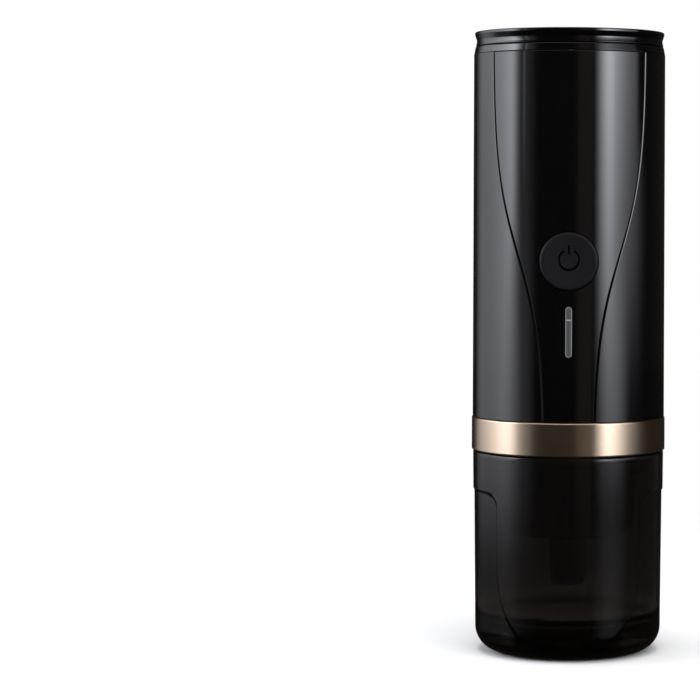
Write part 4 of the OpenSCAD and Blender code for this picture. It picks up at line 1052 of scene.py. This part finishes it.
def glow_card(name, left, right, shape, tint, low=-0.25, high=0.9, away=0.9):
    """A bent wall round the maker, with glow = shape(azimuth, height).

    The azimuth is in degrees from the camera, positive to the right; the height is in metres.
    """
    azimuth, height = np.linspace(left, right, CARD_COLUMNS), np.linspace(low, high, CARD_ROWS)
    grid = turned(np.stack([np.full_like(height, away), height], -1) / MM, np.radians(azimuth))
    across_back = np.tile(azimuth == right, (CARD_ROWS - 1, 1))
    mesh = grid_mesh(name, grid, wrap_rows=False, skip=across_back)
    glow = shape(np.abs(azimuth), height[:, None])
    carry(mesh, "glow", glow)
    material = bpy.data.materials.new(name)
    material.use_nodes = True
    tree = material.node_tree
    tree.nodes.clear()
    attribute = tree.nodes.new("ShaderNodeAttribute")
    attribute.attribute_name = "glow"
    start = Wire(attribute.outputs["Fac"])
    tinted = start.add("ShaderNodeVectorMath", {"operation": "SCALE"}, {0: tint, "Scale": start})
    shine = start.add("ShaderNodeEmission", None, {"Color": tinted, "Strength": 1.0})
    clear = start.add("ShaderNodeBsdfTransparent")
    both = start.add("ShaderNodeAddShader", None, {0: shine, 1: clear})
    tree.links.new(both.socket, tree.nodes.new("ShaderNodeOutputMaterial").inputs["Surface"])
    mesh.materials.append(material)
    print(name, "strongest glow", round(float(glow.max()), 2))
    return on_stage(name, mesh)


# %% [markdown]
# On a round body each upright strip mirrors one azimuth of the studio. So the side lights are functions of
# the azimuth and the height, which give the bands their soft and crisp edges. A plain square lamp would
# give bands of one brightness.

# %% Shapes of the lights


def left_shape(side, height):
    """A wide light: strongest near the camera's side, dying away round the back and towards the floor.

    Its inner edge is crisp above and soft below; a thin bright slit stands just inside it.
    """
    low = 1 - soft_step(height / 0.2)
    edge = soft_step((side - 58 + 6 * low) / (16 + 20 * low))
    band = 4.0 * edge * np.exp(-np.maximum(side - 72, 0) / (34 + 6 * low)) * soft_step((150 - side) / 26)
    spill = (0.22 + 0.3 * low) * soft_step((side - 36) / 18) * soft_step((75 - side) / 15)
    slit = 0.9 * np.exp(-(((side - 54.5) / 0.8) ** 2)) * soft_step((height - 0.16) / 0.08)
    fade = 0.88 * soft_step((height + 0.11) / 0.1) + 0.12 * soft_step((height + 0.25) / 0.1)
    fade *= 0.5 + 0.5 * np.clip(height / 0.27, 0, 1.9)
    return (band + spill + slit) * fade * soft_step((0.78 - height) / 0.16)


def right_shape(side, height):
    """A narrower light: a long tail above, a short bright patch below, and a quicker fade than the left."""
    low = 1 - soft_step((height + 0.02) / 0.16)
    crisp = soft_step((height - 0.17) / 0.06)
    tail = np.exp(-np.maximum(side - 49, 0) / 18) * soft_step((108 - 16 * crisp - side) / (26 - 18 * crisp))
    patch = soft_step((79 - side) / 24)
    rise = soft_step((side - 28) / 20)
    slit = 0.6 * np.exp(-(((side - 52.5) / 0.9) ** 2))
    fade = 0.83 * soft_step((height + 0.07) / 0.08) + 0.17 * soft_step((height + 0.25) / 0.1)
    fade *= 0.22 + 0.78 * np.clip(height / 0.235, 0, 1.15) ** 1.2
    top = (0.25 + 0.75 * soft_step((0.56 - height) / 0.25)) * soft_step((0.8 - height) / 0.15)
    return rise * (5.4 * (tail + low * (patch - tail)) + slit) * fade * top


def warm_shape(side, height):
    """A faint warm patch just right of the camera, which the metal ring picks up."""
    return 0.078 * soft_step((height + 0.12) / 0.1) * soft_step((side - 5) / 10) * soft_step((30 - side) / 5)


COOL = (0.90, 0.92, 1.0)
WARM = (1.0, 0.86, 0.76)
glow_card("left_light", -158, -36, left_shape, COOL)
glow_card("right_light", 25, 110, right_shape, COOL)
glow_card("warm_light", 4, 31, warm_shape, WARM)

# %% [markdown]
# The bowl, a wide drum of dark cloth, stands for the dark studio. Cards alone would leave the white world
# in the gloss between them. Only gloss sees the bowl, so the ground stays white.

# %% Dark bowl
BOWL_R, BOWL_FOOT, BOWL_HEAD = 1.6, -0.7, 2.2
bowl_line = np.array([(0, BOWL_FOOT), (BOWL_R, BOWL_FOOT), (BOWL_R, BOWL_HEAD)]) / MM
bowl = on_stage("dark_bowl", grid_mesh("dark_bowl", turned(bowl_line, full_circle(96)), wrap_rows=False))
bowl.visible_diffuse = bowl.visible_transmission = False
CLOTH = {"Base Color": rgba(0.026, 0.023, 0.020), "Specular IOR Level": 0.0}
bowl.data.materials.append(make_finish("dark_cloth", CLOTH, lambda place: {}))
print("bowl across", 2 * BOWL_R)

# %% [markdown]
# The floor is pale and matte, so it takes the maker's own shadow. Far from the maker it turns to plain
# white, but only for rays that are seen: by the camera or through the cup. That white throws no extra
# light on the maker.

# %% Floor
FLOOR_R, WHITE_FROM, WHITE_AT, PALE = 6.0, 0.10, 0.45, 0.9


def seen_rays(tree):
    """1 for rays of the camera, of gloss and through clear pieces, 0 for rays that only carry light."""
    ray = tree.nodes.new("ShaderNodeLightPath")
    kinds = [Wire(ray.outputs[f"Is {kind} Ray"]) for kind in ("Camera", "Glossy", "Transmission")]
    return kinds[0].sum("MINIMUM", kinds[0] + kinds[1] + kinds[2], 1.0)


floor_line = np.array([(0, 0), (FLOOR_R, 0)]) / MM
floor_mesh = grid_mesh("floor", turned(floor_line, full_circle(128)), wrap_rows=False)
close_skin(floor_mesh)
floor = put("floor", floor_mesh)
floor.visible_glossy = False
ground = bpy.data.materials.new("ground")
ground.use_nodes = True
ground_tree = ground.node_tree
ground_tree.nodes.clear()
ground_place = Wire(ground_tree.nodes.new("ShaderNodeTexCoord").outputs["Object"])
away = ground_place.add("ShaderNodeVectorMath", {"operation": "LENGTH"}, {0: ground_place}, out="Value")
whiteness = seen_rays(ground_tree) * away.step(WHITE_FROM, WHITE_AT)
matte = away.add("ShaderNodeBsdfDiffuse", None, {"Color": rgba(PALE, PALE, PALE)})
white = away.add("ShaderNodeEmission", None, {"Strength": 1.0})
ground_mix = away.add("ShaderNodeMixShader", None, {0: whiteness, 1: matte, 2: white})
ground_out = ground_tree.nodes.new("ShaderNodeOutputMaterial")
ground_tree.links.new(ground_mix.socket, ground_out.inputs["Surface"])
floor_mesh.materials.append(ground)
print("floor across", 2 * FLOOR_R)

# %% [markdown]
# The world is the rest of the white studio. Rays that are seen find it plain white. Rays that only carry
# light find it at about half of that, so that the cards and lamps still shape the pieces.

# %% World
AMBIENT = 0.55
world = bpy.data.worlds.new("studio")
bpy.context.scene.world = world
world.use_nodes = True
world_tree = world.node_tree
world_tree.nodes.clear()
seen = seen_rays(world_tree)
strength = seen * (1 - AMBIENT) + AMBIENT
sky = seen.add("ShaderNodeBackground", None, {"Color": rgba(1, 1, 1), "Strength": strength})
world_out = world_tree.nodes.new("ShaderNodeOutputWorld")
world_tree.links.new(sky.socket, world_out.inputs["Surface"])
print("world carries", AMBIENT)

# %% [markdown]
# Two soft lamps light what isn't gloss: one from the front, for the light bar and the inside, and one from
# overhead, which brings the floor close to white and draws the shadow at the foot.

# %% Lamps


def soft_lamp(name, size, energy, place, turn):
    """A square lamp that gloss doesn't mirror; turn is its tilt about X and Z in degrees."""
    data = bpy.data.lights.new(name, "AREA")
    data.size, data.energy = size, energy
    light = put(name, data)
    light.location = place
    light.rotation_euler = (math.radians(turn[0]), 0, math.radians(turn[1]))
    light.visible_glossy = False
    print("lamp", name, "watts", energy)


soft_lamp("fill", 1.2, 9.0, (0.25, -0.9, 1.25), (38, 12))
soft_lamp("overhead", 0.7, 6.5, (0, 0, 1.3), (0, 0))
